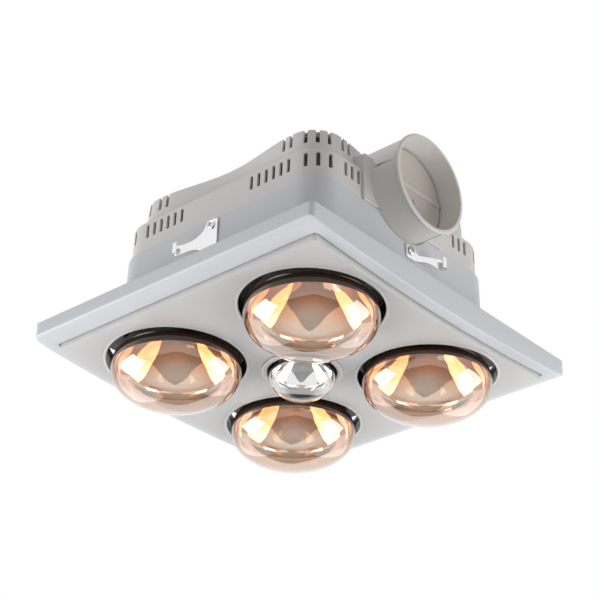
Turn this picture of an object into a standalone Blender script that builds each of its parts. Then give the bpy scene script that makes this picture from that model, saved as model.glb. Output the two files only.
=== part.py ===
"""Bathroom ceiling heater: four heat lamps and a light round a centrifugal extractor fan.

Metres, +Z up. The origin is the centre of the fascia's rim, on the ceiling plane.
The duct outlet faces +X, the fascia looks down, and the housing stands above the ceiling.
"""
import math

import bmesh
import bpy
from mathutils import Matrix, Vector

# Clearances
SEAT_GAP = 0.0003
SLIDE_GAP = 0.0008
CUT_OVERRUN = 0.004

# Heat lamp: reflector bulb 125 mm across with an E27 cap
BULB_R = 0.0625
BULB_WIDEST_Z = -0.037
BULB_CROWN_DEPTH = 0.035
BULB_NECK_R = 0.0160
BULB_NECK_Z = 0.0670
BULB_CEILING_SHARE = 0.70
GLASS_T = 0.0013
CAP_R = 0.0133
CAP_LENGTH = 0.0265
CAP_TIP_R = 0.0050
CAP_TIP = 0.0025
STEM_R = 0.0045
STEM_DISC_R = 0.0140
STEM_DISC_T = 0.0015
STEM_LENGTH = 0.062

# Centre light: reflector bulb 63 mm across with an E27 cap
LIGHT_R = 0.0317
LIGHT_WIDEST_Z = -0.036
LIGHT_CROWN_DEPTH = 0.023
LIGHT_NECK_R = 0.0150
LIGHT_NECK_Z = 0.0175
LIGHT_STEM_LENGTH = 0.030
LIGHT_DISC_R = 0.0090

# Lamp holes, their bezels and collars
LAMP_GAP = 0.0045
LAMP_BRIDGE = 0.036
LAMP_HOLE_R = BULB_R + LAMP_GAP
LAMP_PITCH = LAMP_HOLE_R * 2 + LAMP_BRIDGE
LAMP_AT = LAMP_PITCH / 2
BEZEL_WIDTH = 0.0033
BEZEL_PROUD = 0.0004
PLATE_HOLE_R = LAMP_HOLE_R + BEZEL_WIDTH + SEAT_GAP
COLLAR_SEAT = 0.0019
COLLAR_FLANGE = BEZEL_WIDTH + COLLAR_SEAT
COLLAR_WALL = 0.0016
COLLAR_TOP_Z = -0.008
COLLAR_LIP = 0.0008
COLLAR_SETBACK = 0.0010
COLLAR_FACETS = 16
LIGHT_GAP = 0.0063
CENTRE_HOLE_R = LIGHT_R + LIGHT_GAP
TRIM_GAP = 0.0020
TRIM_FLANGE = 0.0012
TRIM_WALL = 0.0036
TRIM_FLANGE_T = 0.0016
TRIM_DEPTH = 0.0060

# Fascia plate
PLATE_STEP = 0.0052
PLATE_WALL = 0.0016
PLATE_DRAFT = 0.0018
PLATE_FLANGE = 0.0060
PLATE_FLANGE_T = 0.0015
PLATE_FLAT_X = 0.0004
PLATE_FLAT_Y = 0.0085
STUD_R = 0.0045
STUD_CLEAR = 0.0025
STUD_TIP_R = 0.0026
STUD_AT = LAMP_AT + (LAMP_HOLE_R + COLLAR_FLANGE + STUD_R + STUD_CLEAR) / math.sqrt(2)

# Fascia frame: an arch along Y, with straight edges at its ends
BORDER_X = 0.0127
BORDER_Y = 0.0196
LAMP_FIELD = LAMP_AT + LAMP_HOLE_R + COLLAR_FLANGE
PLATE_EDGE = PLATE_WALL + PLATE_DRAFT + SEAT_GAP
FASCIA_X = (LAMP_FIELD + PLATE_FLAT_X + PLATE_EDGE + BORDER_X) * 2
FASCIA_Y = (LAMP_FIELD + PLATE_FLAT_Y + PLATE_EDGE + BORDER_Y) * 2
RIM_HEIGHT = 0.0134
SHOULDER_DROP = 0.0035
SHOULDER_RUN = 0.0056
ARCH_DROP = 0.0081
FASCIA_CORNER_R = 0.006
FRAME_WALL = 0.0022
WINDOW_CORNER_R = 0.004

# Lampholders
HOLDER_WALL = 0.0062
HOLDER_HEAD = 0.0140
HOLDER_SKIRT = 0.0065
HOLDER_FOOT_R = 0.0150
HOLDER_MOUTH_R = BULB_NECK_R + SLIDE_GAP * 2
HOLDER_SKIRT_R = HOLDER_MOUTH_R + HOLDER_WALL / 2
BRACKET_T = 0.0015
BRACKET_WIDTH = 0.022
BRACKET_REACH = 0.029

# Housing: three tiers
STUD_EDGE = 0.009
FLANGE_HALF = STUD_AT + STUD_EDGE
FLANGE_T = 0.0015
FLANGE_CORNER_R = 0.012
CASE_WALL = 0.0023
CASE_LAMP_GAP = 0.00145
TIER1_HALF = LAMP_AT + BULB_R * BULB_CEILING_SHARE + CASE_LAMP_GAP + CASE_WALL
TIER1_TOP_Z = 0.078
TIER1_DRAFT = 0.0015
TIER_CORNER_R = 0.031
LEDGE_WIDTH = 0.0080
LEDGE_T = 0.0020
TIER2_SET_BACK = 0.0020
TIER2_HEIGHT = 0.0354
TIER2_TOP_Z = TIER1_TOP_Z + TIER2_HEIGHT
TIER2_DRAFT = 0.0006
TIER2_ROUND = 0.0024
TIER3_SET_BACK = 0.0075
TIER3_HEIGHT = 0.0296
TIER3_TOP_Z = TIER2_TOP_Z + TIER3_HEIGHT
TIER3_DRAFT = 0.0018
TIER3_ROUND = 0.0010
WAIST = 0.0095
WAIST_HALF_RUN = 0.088
COVER_SEAT_DEPTH = 0.0030
COVER_SEAT_WIDTH = 0.0030
COVER_SEAT_T = 0.0018

# Ventilation slots of the corner towers
SLOT_WIDTH = 0.0038
SLOT_HEIGHT = 0.0150
SLOT_PITCH = 0.0092
SLOT_FIRST = 0.0450
SLOT2_BELOW_TOP = 0.0049
SLOT3_HEIGHT = 0.0155
SIDE_SLOTS = 7
CORNER_SLOTS = 3
TOP_SIDE_SLOTS = 2
TOP_CORNER_SLOTS = 3
SLOT_DEPTH = 0.0075

# Duct outlet on +X
DUCT_R = 0.0490
DUCT_WALL = 0.0025
DUCT_Y = -0.0100
DUCT_RISE = 0.0330
DUCT_Z = TIER1_TOP_Z + DUCT_RISE
DUCT_REACH = 0.0325
DUCT_MOUTH_X = TIER1_HALF + DUCT_REACH
DUCT_LIP = 0.0014
DUCT_LIP_LENGTH = 0.0030
BOX_SIDE = 0.0090
BOX_HALF = DUCT_R + BOX_SIDE
BOX_DROP = 0.0130
BOX_TOP_Z = TIER3_TOP_Z - BOX_DROP
BOX_PROUD = 0.0030
BOX_WALL = 0.0020
BOX_INSET = 0.0285
BOX_BACK_X = TIER1_HALF - BOX_INSET
PLUG_GAP = 0.0006

# Backdraft flap
FLAP_INSET = 0.0250
FLAP_X = DUCT_MOUTH_X - FLAP_INSET
FLAP_T = 0.0014
FLAP_GAP = 0.0016
FLAP_PIVOT_RISE = 0.0050
FLAP_BARREL_R = 0.0034
PIN_R = 0.0016
PIN_GAP = 0.0003

# Fan: the scroll passes beside the lampholders
FAN_X = -0.008
FAN_Y = 0.020
SCROLL_HOLDER_GAP = 0.0063
SCROLL_GROWTH = 0.0210
SCROLL_END_R = LAMP_AT + FAN_Y - HOLDER_SKIRT_R - SCROLL_HOLDER_GAP
SCROLL_CUT_R = SCROLL_END_R - SCROLL_GROWTH
SCROLL_WALL = 0.0018
SCROLL_CUT_ANGLE = math.radians(14)
SCROLL_DROP = 0.0050
SCROLL_TOP_Z = TIER3_TOP_Z - SCROLL_DROP
SCROLL_LID_T = 0.0016
WHEEL_GAP = 0.0070
WHEEL_R = SCROLL_CUT_R - WHEEL_GAP
BLADE_DEPTH = 0.0095
WHEEL_EYE_R = WHEEL_R - BLADE_DEPTH
INLET_LAP = 0.0035
INLET_R = WHEEL_EYE_R + INLET_LAP
WHEEL_RAISE = 0.0050
WHEEL_BOTTOM_Z = TIER1_TOP_Z + WHEEL_RAISE
MOTOR_HANG = 0.0110
MOTOR_RISE = 0.0180
MOTOR_TOP_Z = SCROLL_TOP_Z + MOTOR_RISE
MOTOR_BOTTOM_Z = SCROLL_TOP_Z - MOTOR_HANG
WHEEL_MOTOR_GAP = 0.0050
WHEEL_TOP_Z = MOTOR_BOTTOM_Z - WHEEL_MOTOR_GAP
WHEEL_PLATE_T = 0.0018
WHEEL_RING_T = 0.0020
BLADE_COUNT = 22
BLADE_T = 0.0011
BLADE_SWEEP = math.radians(13)
HUB_R = 0.0085
HUB_LENGTH = 0.0120
SHAFT_R = 0.0030
SHAFT_GAP = 0.0003
MOTOR_R = 0.0330
MOTOR_LUG = 0.0100
MOTOR_FLANGE_R = MOTOR_R + MOTOR_LUG
MOTOR_FLANGE_T = 0.0020
MOTOR_HOLE_GAP = 0.0015
MOTOR_EDGE = 0.0030

# Inner plates and the lid
SHIELD_T = 0.0012
SHIELD_EDGE = 0.0012
NECK_HOLE_GAP = 0.0137
SHIELD_NECK_HOLE_R = CAP_R + SLIDE_GAP + HOLDER_WALL + NECK_HOLE_GAP
VENT_INNER_R = 0.026
VENT_OUTER_R = 0.040
VENT_ARM_WIDTH = 0.012
CHASSIS_T = 0.0012
COVER_T = 0.0020
DOME_GAP = 0.0070
DOME_R = MOTOR_FLANGE_R + DOME_GAP
DOME_RISE = 0.0040
DOME_TOP_Z = MOTOR_TOP_Z + DOME_RISE
DOME_DRAFT = 0.004

# Side clamps
CLIP_T = 0.0012
CLIP_PLATE_W = 0.0150
CLIP_PLATE_TOP = 0.0060
CLIP_BELOW_TOP = 0.0080
CLIP_PIVOT_Z = TIER1_TOP_Z - CLIP_BELOW_TOP
CLIP_DROP = 0.0250
CLIP_UNDER_DUCT = 0.0088
CLIP_LOW_PIVOT_Z = DUCT_Z - DUCT_R - CLIP_UNDER_DUCT
CLIP_LOW_DROP = 0.0082
CLIP_ARM_HEIGHT = 0.0110
CLIP_ARM_REACH = 0.0330
CLIP_ARM_OUT = 0.0090
CLIP_CURL_R = 0.0032
CLIP_STAND_OFF = 0.0010
SCREW_R = 0.0025
SCREW_HEAD_R = 0.0046
SCREW_HEAD_T = 0.0022
SCREW_GAP = 0.0003

# Electrical pieces
GLAND_R = 0.0090
GLAND_BORE_R = 0.0045
GLAND_NUT_R = 0.0125
GLAND_NUT_T = 0.0055
GLAND_OUT = 0.0160
GLAND_IN = 0.0100
GLAND_RISE = 0.0180
GLAND_Z = TIER1_TOP_Z + GLAND_RISE
TERMINAL_X = 0.016
TERMINAL_Y = 0.044
TERMINAL_Z = 0.018
TERMINAL_WAY_R = 0.0018
TERMINAL_INSET = 0.0300
CAPACITOR_R = 0.0110
CAPACITOR_L = 0.030
CAPACITOR_INSET = 0.0435
CAPACITOR_ROUND = 0.0020

# Facets
TRIM_FACETS = 28
FINE = 24
ROUND = 20
LAMP_FACETS = 16
SMALL = 12
THIN = 8
SIDE_STEPS = 8
CORNER_STEPS = 4
ARCH_STEPS = 6

LAMP_SIGNS = ((1, -1), (1, 1), (-1, 1), (-1, -1))


# Scene and materials

def clear_scene():
    for item in list(bpy.data.objects):
        bpy.data.objects.remove(item, do_unlink=True)


def new_collection(name):
    made = bpy.data.collections.new(name)
    bpy.context.scene.collection.children.link(made)
    return made


def finish(name, colour, roughness, metallic=0.0, transmission=0.0):
    made = bpy.data.materials.new(name)
    made.use_nodes = True
    shader = made.node_tree.nodes["Principled BSDF"]
    shader.inputs["Base Color"].default_value = (*colour, 1.0)
    shader.inputs["Roughness"].default_value = roughness
    shader.inputs["Metallic"].default_value = metallic
    shader.inputs["Transmission Weight"].default_value = transmission
    made.diffuse_color = (*colour, 1.0)
    return made


# Shape helpers

def add(name, mesh, material=None, smooth=False):
    """Put a mesh in the part's collection, or among the cutters when it has no material."""
    item = bpy.data.objects.new(name, mesh)
    (PARTS if material else CUTTERS).objects.link(item)
    if material:
        mesh.materials.clear()
        mesh.materials.append(material)
    else:
        item.hide_render = True
        item.display_type = "WIRE"
    if smooth:
        mesh.shade_smooth()
        mesh.set_sharp_from_angle(angle=math.radians(35))
    return item


def evaluated_mesh(item):
    """The object's evaluated shape as its own mesh, in world places, with its caps welded."""
    bpy.context.view_layer.update()
    graph = bpy.context.evaluated_depsgraph_get()
    mesh = bpy.data.meshes.new_from_object(item.evaluated_get(graph))
    mesh.transform(item.matrix_world)
    bm = bmesh.new()
    bm.from_mesh(mesh)
    bmesh.ops.remove_doubles(bm, verts=bm.verts, dist=SEAT_GAP / 100)
    bm.to_mesh(mesh)
    bm.free()
    return mesh


def baked(item, name=None, material=None, smooth=False):
    """Replace an object by its evaluated shape."""
    mesh = evaluated_mesh(item)
    label = name or item.name
    bpy.data.objects.remove(item, do_unlink=True)
    return add(label, mesh, material, smooth)


def outline_solid(name, outlines, low, high, matrix=None):
    """A flat outline, with its holes, as a solid between two heights."""
    curve = bpy.data.curves.new(name, "CURVE")
    curve.dimensions = "2D"
    curve.fill_mode = "BOTH"
    curve.extrude = (high - low) / 2
    for outline in outlines:
        spline = curve.splines.new("POLY")
        spline.points.add(len(outline) - 1)
        for point, (x, y) in zip(spline.points, outline):
            point.co = (x, y, 0, 1)
        spline.use_cyclic_u = True
    item = bpy.data.objects.new(name, curve)
    CUTTERS.objects.link(item)
    item.matrix_world = (matrix or Matrix()) @ Matrix.Translation((0, 0, (high + low) / 2))
    return baked(item)


def cuboid(name, low, high):
    """A box between two corners."""
    bm = bmesh.new()
    size = [b - a for a, b in zip(low, high)]
    middle = [(a + b) / 2 for a, b in zip(low, high)]
    place = Matrix.Translation(middle) @ Matrix.Diagonal((*size, 1))
    bmesh.ops.create_cube(bm, size=1, matrix=place)
    mesh = bpy.data.meshes.new(name)
    bm.to_mesh(mesh)
    bm.free()
    return add(name, mesh)


def cylinder(name, radius, start, end, segments=ROUND):
    """A round bar from one point to another."""
    start, end = Vector(start), Vector(end)
    along = end - start
    bm = bmesh.new()
    turn = Vector((0, 0, 1)).rotation_difference(along.normalized()).to_matrix().to_4x4()
    place = Matrix.Translation((start + end) / 2) @ turn
    bmesh.ops.create_cone(bm, cap_ends=True, segments=segments, radius1=radius, radius2=radius,
                          depth=along.length, matrix=place)
    mesh = bpy.data.meshes.new(name)
    bm.to_mesh(mesh)
    bm.free()
    return add(name, mesh)


def turned(name, profile, material, centre=(0, 0), segments=ROUND, closed=False, matrix=None):
    """A profile of radius and height turned about a vertical axis, listed down its outer side."""
    bm = bmesh.new()
    points = [bm.verts.new((radius, 0, height)) for radius, height in profile]
    for first, second in zip(points, points[1:]):
        bm.edges.new((first, second))
    if closed:
        bm.edges.new((points[-1], points[0]))
    mesh = bpy.data.meshes.new(name)
    bm.to_mesh(mesh)
    bm.free()
    item = add(name, mesh)
    screw = item.modifiers.new("turn", "SCREW")
    screw.steps = segments
    screw.render_steps = segments
    screw.use_merge_vertices = True
    screw.merge_threshold = SEAT_GAP / 100
    item.matrix_world = matrix or Matrix.Translation((*centre, 0))
    return baked(item, name, material, True)


def combine(body, other, operation):
    """Join, cut or intersect a body with another one, which is used up."""
    change = body.modifiers.new(operation.lower(), "BOOLEAN")
    change.operation = operation
    change.object = other
    change.solver = "EXACT"
    mesh = evaluated_mesh(body)
    body.modifiers.remove(change)
    body.data = mesh
    body.matrix_world = Matrix()
    bpy.data.objects.remove(other, do_unlink=True)


def several(name, items):
    """Closed shapes gathered in one object, for use as one tool."""
    bm = bmesh.new()
    for item in items:
        mesh = evaluated_mesh(item)
        bm.from_mesh(mesh)
        bpy.data.objects.remove(item, do_unlink=True)
    mesh = bpy.data.meshes.new(name)
    bm.to_mesh(mesh)
    bm.free()
    return add(name, mesh)


def named(item, name, material, smooth=True):
    """Move a finished shape from the cutters to the parts."""
    return baked(item, name, material, smooth)


def ring_loft(name, rings, closed_section=True):
    """A loft through outlines of equal counts: a shell round its section, or a capped solid."""
    bm = bmesh.new()
    loops = [[bm.verts.new(point) for point in ring] for ring in rings]
    count = len(loops[0])
    pairs = list(zip(loops, loops[1:]))
    if closed_section:
        pairs.append((loops[-1], loops[0]))
    for lower, upper in pairs:
        for i in range(count):
            j = (i + 1) % count
            bm.faces.new((lower[i], lower[j], upper[j], upper[i]))
    if not closed_section:
        bm.faces.new(list(reversed(loops[0])))
        bm.faces.new(loops[-1])
    bmesh.ops.recalc_face_normals(bm, faces=bm.faces)
    mesh = bpy.data.meshes.new(name)
    bm.to_mesh(mesh)
    bm.free()
    return add(name, mesh)


# Outlines

def rounded_outline(half_x, half_y, radius, waist=0.0):
    """A rounded rectangle whose straight sides may draw in between the corners."""
    points = []
    for quarter in range(4):
        along_x = quarter % 2 == 0
        half_run = (half_y if along_x else half_x) - radius
        reach = half_x if along_x else half_y
        turn = Matrix.Rotation(quarter * math.pi / 2, 2)
        for i in range(SIDE_STEPS + 1):
            along = half_run * (2 * i / SIDE_STEPS - 1)
            near = min(abs(along) / WAIST_HALF_RUN, 1)
            draw = waist * (1 + math.cos(math.pi * near)) / 2
            points.append(turn @ Vector((reach - draw, along)))
        for i in range(1, CORNER_STEPS):
            angle = math.pi / 2 * i / CORNER_STEPS
            corner = Vector((reach - radius + radius * math.cos(angle),
                             half_run + radius * math.sin(angle)))
            points.append(turn @ corner)
    return [(point.x, point.y) for point in points]


def square_ring(half, radius, height, waist=0.0):
    return [(x, y, height) for x, y in rounded_outline(half, half, radius, waist)]


def arch(y):
    """Depth of the frame's underside below the ceiling plane."""
    inset = max(FASCIA_Y / 2 - abs(y), 0)
    shoulder = SHOULDER_DROP * (1 - math.exp(-inset / SHOULDER_RUN))
    return RIM_HEIGHT + shoulder + ARCH_DROP * (1 - (2 * y / FASCIA_Y) ** 2)


def arch_stations(half):
    """Y stations that crowd towards the edges, where the shoulder bends."""
    insets = [half * (i / ARCH_STEPS) ** 2.2 for i in range(ARCH_STEPS + 1)]
    left = [inset - half for inset in insets]
    return left + [-y for y in reversed(left[:-1])]


def arched_slab(name, half_x, half_y, low_offset, high_offset=None, flat_top=None):
    """The space between two copies of the arch, or between the arch and a level top."""
    ys = arch_stations(half_y)
    outline = [(y, low_offset - arch(y)) for y in ys]
    if flat_top is None:
        outline += [(y, high_offset - arch(y)) for y in reversed(ys)]
    else:
        outline += [(half_y, flat_top), (-half_y, flat_top)]
    to_world = Matrix(((0, 0, 1, 0), (1, 0, 0, 0), (0, 1, 0, 0), (0, 0, 0, 1)))
    return outline_solid(name, [outline], -half_x, half_x, to_world)


def prism(name, half_x, half_y, radius, low, high, low_inset=0.0):
    """An upright rounded block, which may narrow towards its lower end."""
    inset_x, inset_y = half_x - low_inset, half_y - low_inset
    rings = [[(x, y, low) for x, y in rounded_outline(inset_x, inset_y, radius)],
             [(x, y, high) for x, y in rounded_outline(half_x, half_y, radius)]]
    return ring_loft(name, rings, closed_section=False)


# Fascia

def window_half():
    return FASCIA_X / 2 - BORDER_X, FASCIA_Y / 2 - BORDER_Y


def deepest():
    return arch(0) + PLATE_STEP


def fascia_frame():
    half_x, half_y = FASCIA_X / 2, FASCIA_Y / 2
    body = arched_slab("frame", half_x + CUT_OVERRUN, half_y, 0, flat_top=0)
    combine(body, prism("frame_outline", half_x, half_y + SEAT_GAP, FASCIA_CORNER_R,
                        -deepest() - CUT_OVERRUN, CUT_OVERRUN), "INTERSECT")
    inner_y = half_y - FRAME_WALL
    hollow = arched_slab("frame_hollow", half_x - FRAME_WALL, inner_y, FRAME_WALL,
                         flat_top=CUT_OVERRUN)
    combine(body, hollow, "DIFFERENCE")
    win_x, win_y = window_half()
    combine(body, prism("frame_window", win_x, win_y, WINDOW_CORNER_R, -deepest() - CUT_OVERRUN,
                        CUT_OVERRUN), "DIFFERENCE")
    return named(body, "fascia_frame", ENAMEL)


def plate_stud(x, y):
    """A post that stands on the plate's back and locates in the case flange."""
    shoulder = -FLANGE_T - SEAT_GAP
    foot = -arch(abs(y)) - PLATE_STEP + PLATE_WALL / 2
    post = cylinder("stud", STUD_R, (x, y, foot), (x, y, shoulder), SMALL)
    tip = cylinder("stud_tip", STUD_TIP_R, (x, y, shoulder - STUD_R), (x, y, -SEAT_GAP), SMALL)
    combine(post, tip, "UNION")
    return post


def fascia_plate():
    win_x, win_y = window_half()
    edge_x, edge_y = win_x - SEAT_GAP, win_y - SEAT_GAP
    floor = -deepest() - CUT_OVERRUN
    flange_low = FRAME_WALL + SEAT_GAP
    flange_high = flange_low + PLATE_FLANGE_T
    body = arched_slab("plate", edge_x + CUT_OVERRUN, edge_y + PLATE_FLANGE, -PLATE_STEP, flange_high)
    combine(body, prism("plate_outline", edge_x, edge_y, WINDOW_CORNER_R, floor, 0,
                        PLATE_DRAFT), "INTERSECT")
    flange = arched_slab("plate_flange", edge_x + PLATE_FLANGE, edge_y + PLATE_FLANGE,
                         flange_low, flange_high)
    combine(flange, prism("flange_outline", edge_x + PLATE_FLANGE, edge_y + PLATE_FLANGE,
                          WINDOW_CORNER_R, floor, CUT_OVERRUN), "INTERSECT")
    combine(body, flange, "UNION")
    hollow = arched_slab("plate_hollow", edge_x, edge_y, PLATE_WALL - PLATE_STEP, flat_top=CUT_OVERRUN)
    wall = PLATE_WALL + PLATE_DRAFT
    combine(hollow, prism("hollow_outline", edge_x - wall, edge_y - wall, WINDOW_CORNER_R,
                          floor, CUT_OVERRUN * 2), "INTERSECT")
    combine(body, hollow, "DIFFERENCE")
    for sx, sy in LAMP_SIGNS:
        combine(body, plate_stud(sx * STUD_AT, sy * STUD_AT), "UNION")
    holes = [cylinder("lamp_hole", PLATE_HOLE_R, (sx * LAMP_AT, sy * LAMP_AT, floor),
                      (sx * LAMP_AT, sy * LAMP_AT, CUT_OVERRUN), FINE) for sx, sy in LAMP_SIGNS]
    holes.append(cylinder("light_hole", CENTRE_HOLE_R, (0, 0, floor), (0, 0, CUT_OVERRUN), TRIM_FACETS))
    combine(body, several("holes", holes), "DIFFERENCE")
    return named(body, "fascia_plate", SATIN)


def lamp_bezel(number, sx, sy):
    """Flat ring set in the plate round a lamp, a little proud of it and curved with it."""
    outer = LAMP_HOLE_R + BEZEL_WIDTH
    floor = -deepest() - CUT_OVERRUN
    body = arched_slab("bezel", FASCIA_X / 2, FASCIA_Y / 2, -PLATE_STEP - BEZEL_PROUD,
                       PLATE_WALL - PLATE_STEP)
    ring = turned("ring", [(outer, 0), (outer, floor), (LAMP_HOLE_R, floor), (LAMP_HOLE_R, 0)], None,
                  (sx * LAMP_AT, sy * LAMP_AT), FINE, True)
    combine(body, ring, "INTERSECT")
    return named(body, "lamp_bezel_%d" % number, SATIN)


def plate_top_cutter():
    """Everything below the plate's back, with the seating gap."""
    return arched_slab("below_plate", FASCIA_X / 2, FASCIA_Y / 2, -deepest(),
                       PLATE_WALL - PLATE_STEP + SEAT_GAP)


def lamp_collar(number, sx, sy):
    inner = LAMP_HOLE_R + COLLAR_SETBACK
    outer = inner + COLLAR_WALL
    flange = LAMP_HOLE_R + COLLAR_FLANGE
    flange_z = -arch(LAMP_FIELD) - PLATE_STEP + PLATE_WALL + COLLAR_FLANGE
    low = -deepest()
    lip = inner - COLLAR_LIP
    profile = [(lip, COLLAR_TOP_Z), (outer, COLLAR_TOP_Z), (outer, flange_z), (flange, flange_z),
               (flange, low), (inner, low), (inner, COLLAR_TOP_Z - COLLAR_WALL),
               (lip, COLLAR_TOP_Z - COLLAR_WALL)]
    body = turned("collar", profile, None, (sx * LAMP_AT, sy * LAMP_AT), COLLAR_FACETS, True)
    combine(body, plate_top_cutter(), "DIFFERENCE")
    return named(body, "lamp_collar_%d" % number, BLACK)


def centre_trim_ring():
    """Flat ring under the plate, with a barrel that stands up through the plate's centre hole."""
    barrel_outer = CENTRE_HOLE_R - SEAT_GAP
    barrel_inner = barrel_outer - TRIM_WALL
    inner = LIGHT_R + TRIM_GAP
    face = -deepest() - SEAT_GAP
    flange = CENTRE_HOLE_R + TRIM_FLANGE
    profile = [(barrel_outer, face + TRIM_DEPTH), (barrel_outer, face), (flange, face),
               (flange, face - TRIM_FLANGE_T / 2), (flange - TRIM_FLANGE_T / 2, face - TRIM_FLANGE_T),
               (inner, face - TRIM_FLANGE_T), (inner, face), (barrel_inner, face + TRIM_FLANGE_T),
               (barrel_inner, face + TRIM_DEPTH)]
    return turned("centre_trim_ring", profile, SATIN, (0, 0), TRIM_FACETS, True)


# Lamps

BULB_CROWN_STEPS = 3
BULB_BODY_SHARES = ((0.115, 0.952), (0.28, 0.776), (0.433, 0.568), (0.60, 0.36), (0.76, 0.264))


def bulb_profile(radius, widest_z, crown_depth, neck_r, neck_z, inset):
    """From the neck down the outside to the crown, as radius and height."""
    wide = radius - inset
    narrow = neck_r - inset
    crown = crown_depth - inset
    rise = neck_z - widest_z
    least_share = neck_r / radius
    points = [(narrow, neck_z)]
    for height_share, radius_share in reversed(BULB_BODY_SHARES):
        points.append((wide * max(radius_share, least_share), widest_z + rise * height_share))
    for i in range(BULB_CROWN_STEPS):
        angle = math.pi / 2 * i / BULB_CROWN_STEPS
        points.append((wide * math.cos(angle), widest_z - crown * math.sin(angle)))
    points.append((0, widest_z - crown))
    return points


def glass_shell(name, radius, widest_z, crown_depth, neck_r, neck_z, centre, material):
    outer = bulb_profile(radius, widest_z, crown_depth, neck_r, neck_z, 0)
    inner = bulb_profile(radius, widest_z, crown_depth, neck_r, neck_z, GLASS_T)
    profile = outer + list(reversed(inner))
    bm = bmesh.new()
    points = [bm.verts.new((r, 0, z)) for r, z in profile]
    for first, second in zip(points, points[1:]):
        if first.co.x > 0 or second.co.x > 0:
            bm.edges.new((first, second))
    bm.edges.new((points[-1], points[0]))
    mesh = bpy.data.meshes.new(name)
    bm.to_mesh(mesh)
    bm.free()
    item = add(name, mesh)
    screw = item.modifiers.new("turn", "SCREW")
    screw.steps = LAMP_FACETS
    screw.render_steps = LAMP_FACETS
    screw.use_merge_vertices = True
    screw.merge_threshold = SEAT_GAP / 100
    item.matrix_world = Matrix.Translation((*centre, 0))
    return baked(item, name, material, True)


def screw_cap(name, neck_z, centre):
    low = neck_z + SEAT_GAP
    high = low + CAP_LENGTH
    shoulder = high - CAP_TIP
    profile = [(0, high), (CAP_TIP_R, high), (CAP_R, shoulder - CAP_TIP), (CAP_R, low), (0, low)]
    return turned(name, profile, BRASS, centre, SMALL)


def stem(name, neck_z, length, disc_r, centre):
    top = neck_z
    low = top - length
    disc = top - length / 2
    profile = [(0, top), (STEM_R * 2, top), (STEM_R, disc + STEM_DISC_T), (disc_r, disc + STEM_DISC_T),
               (disc_r, disc), (STEM_R, disc), (0, low)]
    return turned(name, profile, CERAMIC, centre, THIN)


def lampholder(name, neck_z, head_z, centre):
    """A ceramic socket whose bore takes the lamp's cap and whose head is fixed above it."""
    bore = CAP_R + SLIDE_GAP
    outer = bore + HOLDER_WALL
    cap_top = neck_z + SEAT_GAP + CAP_LENGTH + SEAT_GAP
    low = neck_z - HOLDER_SKIRT
    mouth = HOLDER_MOUTH_R
    bore_low = neck_z + SLIDE_GAP
    mouth_outer = HOLDER_SKIRT_R
    profile = [(0, head_z), (HOLDER_FOOT_R, head_z), (outer, head_z - HOLDER_HEAD / 2),
               (outer, bore_low + HOLDER_WALL), (mouth_outer, bore_low), (mouth_outer, low), (mouth, low),
               (mouth, bore_low), (bore, bore_low), (bore, cap_top), (0, cap_top)]
    return turned(name, profile, CERAMIC, centre, SMALL)


def lamps():
    head = tier2_inner_top() - SEAT_GAP - CHASSIS_T - SEAT_GAP
    for number, (sx, sy) in enumerate(LAMP_SIGNS, 1):
        centre = (sx * LAMP_AT, sy * LAMP_AT)
        glass_shell("heat_bulb_%d" % number, BULB_R, BULB_WIDEST_Z, BULB_CROWN_DEPTH, BULB_NECK_R,
                    BULB_NECK_Z, centre, AMBER)
        screw_cap("heat_cap_%d" % number, BULB_NECK_Z, centre)
        stem("heat_stem_%d" % number, BULB_NECK_Z, STEM_LENGTH, STEM_DISC_R, centre)
        lampholder("lampholder_%d" % number, BULB_NECK_Z, head, centre)


def centre_light():
    head = shield_low() - SEAT_GAP - BRACKET_T - SEAT_GAP
    glass_shell("centre_bulb", LIGHT_R, LIGHT_WIDEST_Z, LIGHT_CROWN_DEPTH, LIGHT_NECK_R, LIGHT_NECK_Z,
                (0, 0), CLEAR)
    screw_cap("centre_cap", LIGHT_NECK_Z, (0, 0))
    stem("centre_stem", LIGHT_NECK_Z, LIGHT_STEM_LENGTH, LIGHT_DISC_R, (0, 0))
    lampholder("centre_lampholder", LIGHT_NECK_Z, head, (0, 0))
    low = head + SEAT_GAP
    plate = cuboid("bracket", (-BRACKET_REACH, -BRACKET_WIDTH / 2, low),
                   (BRACKET_REACH, BRACKET_WIDTH / 2, low + BRACKET_T))
    named(plate, "centre_lamp_bracket", STEEL, False)


# Housing

def tier2_half():
    return TIER1_HALF - TIER1_DRAFT - TIER2_SET_BACK


def tier3_half():
    return tier2_half() - TIER2_DRAFT - TIER3_SET_BACK


def tier2_inner_top():
    return TIER2_TOP_Z - CASE_WALL


def shield_low():
    return TIER1_TOP_Z - LEDGE_T - SEAT_GAP - SHIELD_T


def base_z():
    """Where the fan and the electrical pieces stand on the heat shield."""
    return shield_low() + SHIELD_T + SEAT_GAP


def outlet_cylinder():
    """The round way through the case walls for the outlet."""
    start = tier3_half() - WAIST - CASE_WALL - COVER_SEAT_WIDTH - CUT_OVERRUN
    return cylinder("outlet_way", DUCT_R + PLUG_GAP, (start, DUCT_Y, DUCT_Z),
                    (DUCT_MOUTH_X, DUCT_Y, DUCT_Z), FINE)


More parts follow.
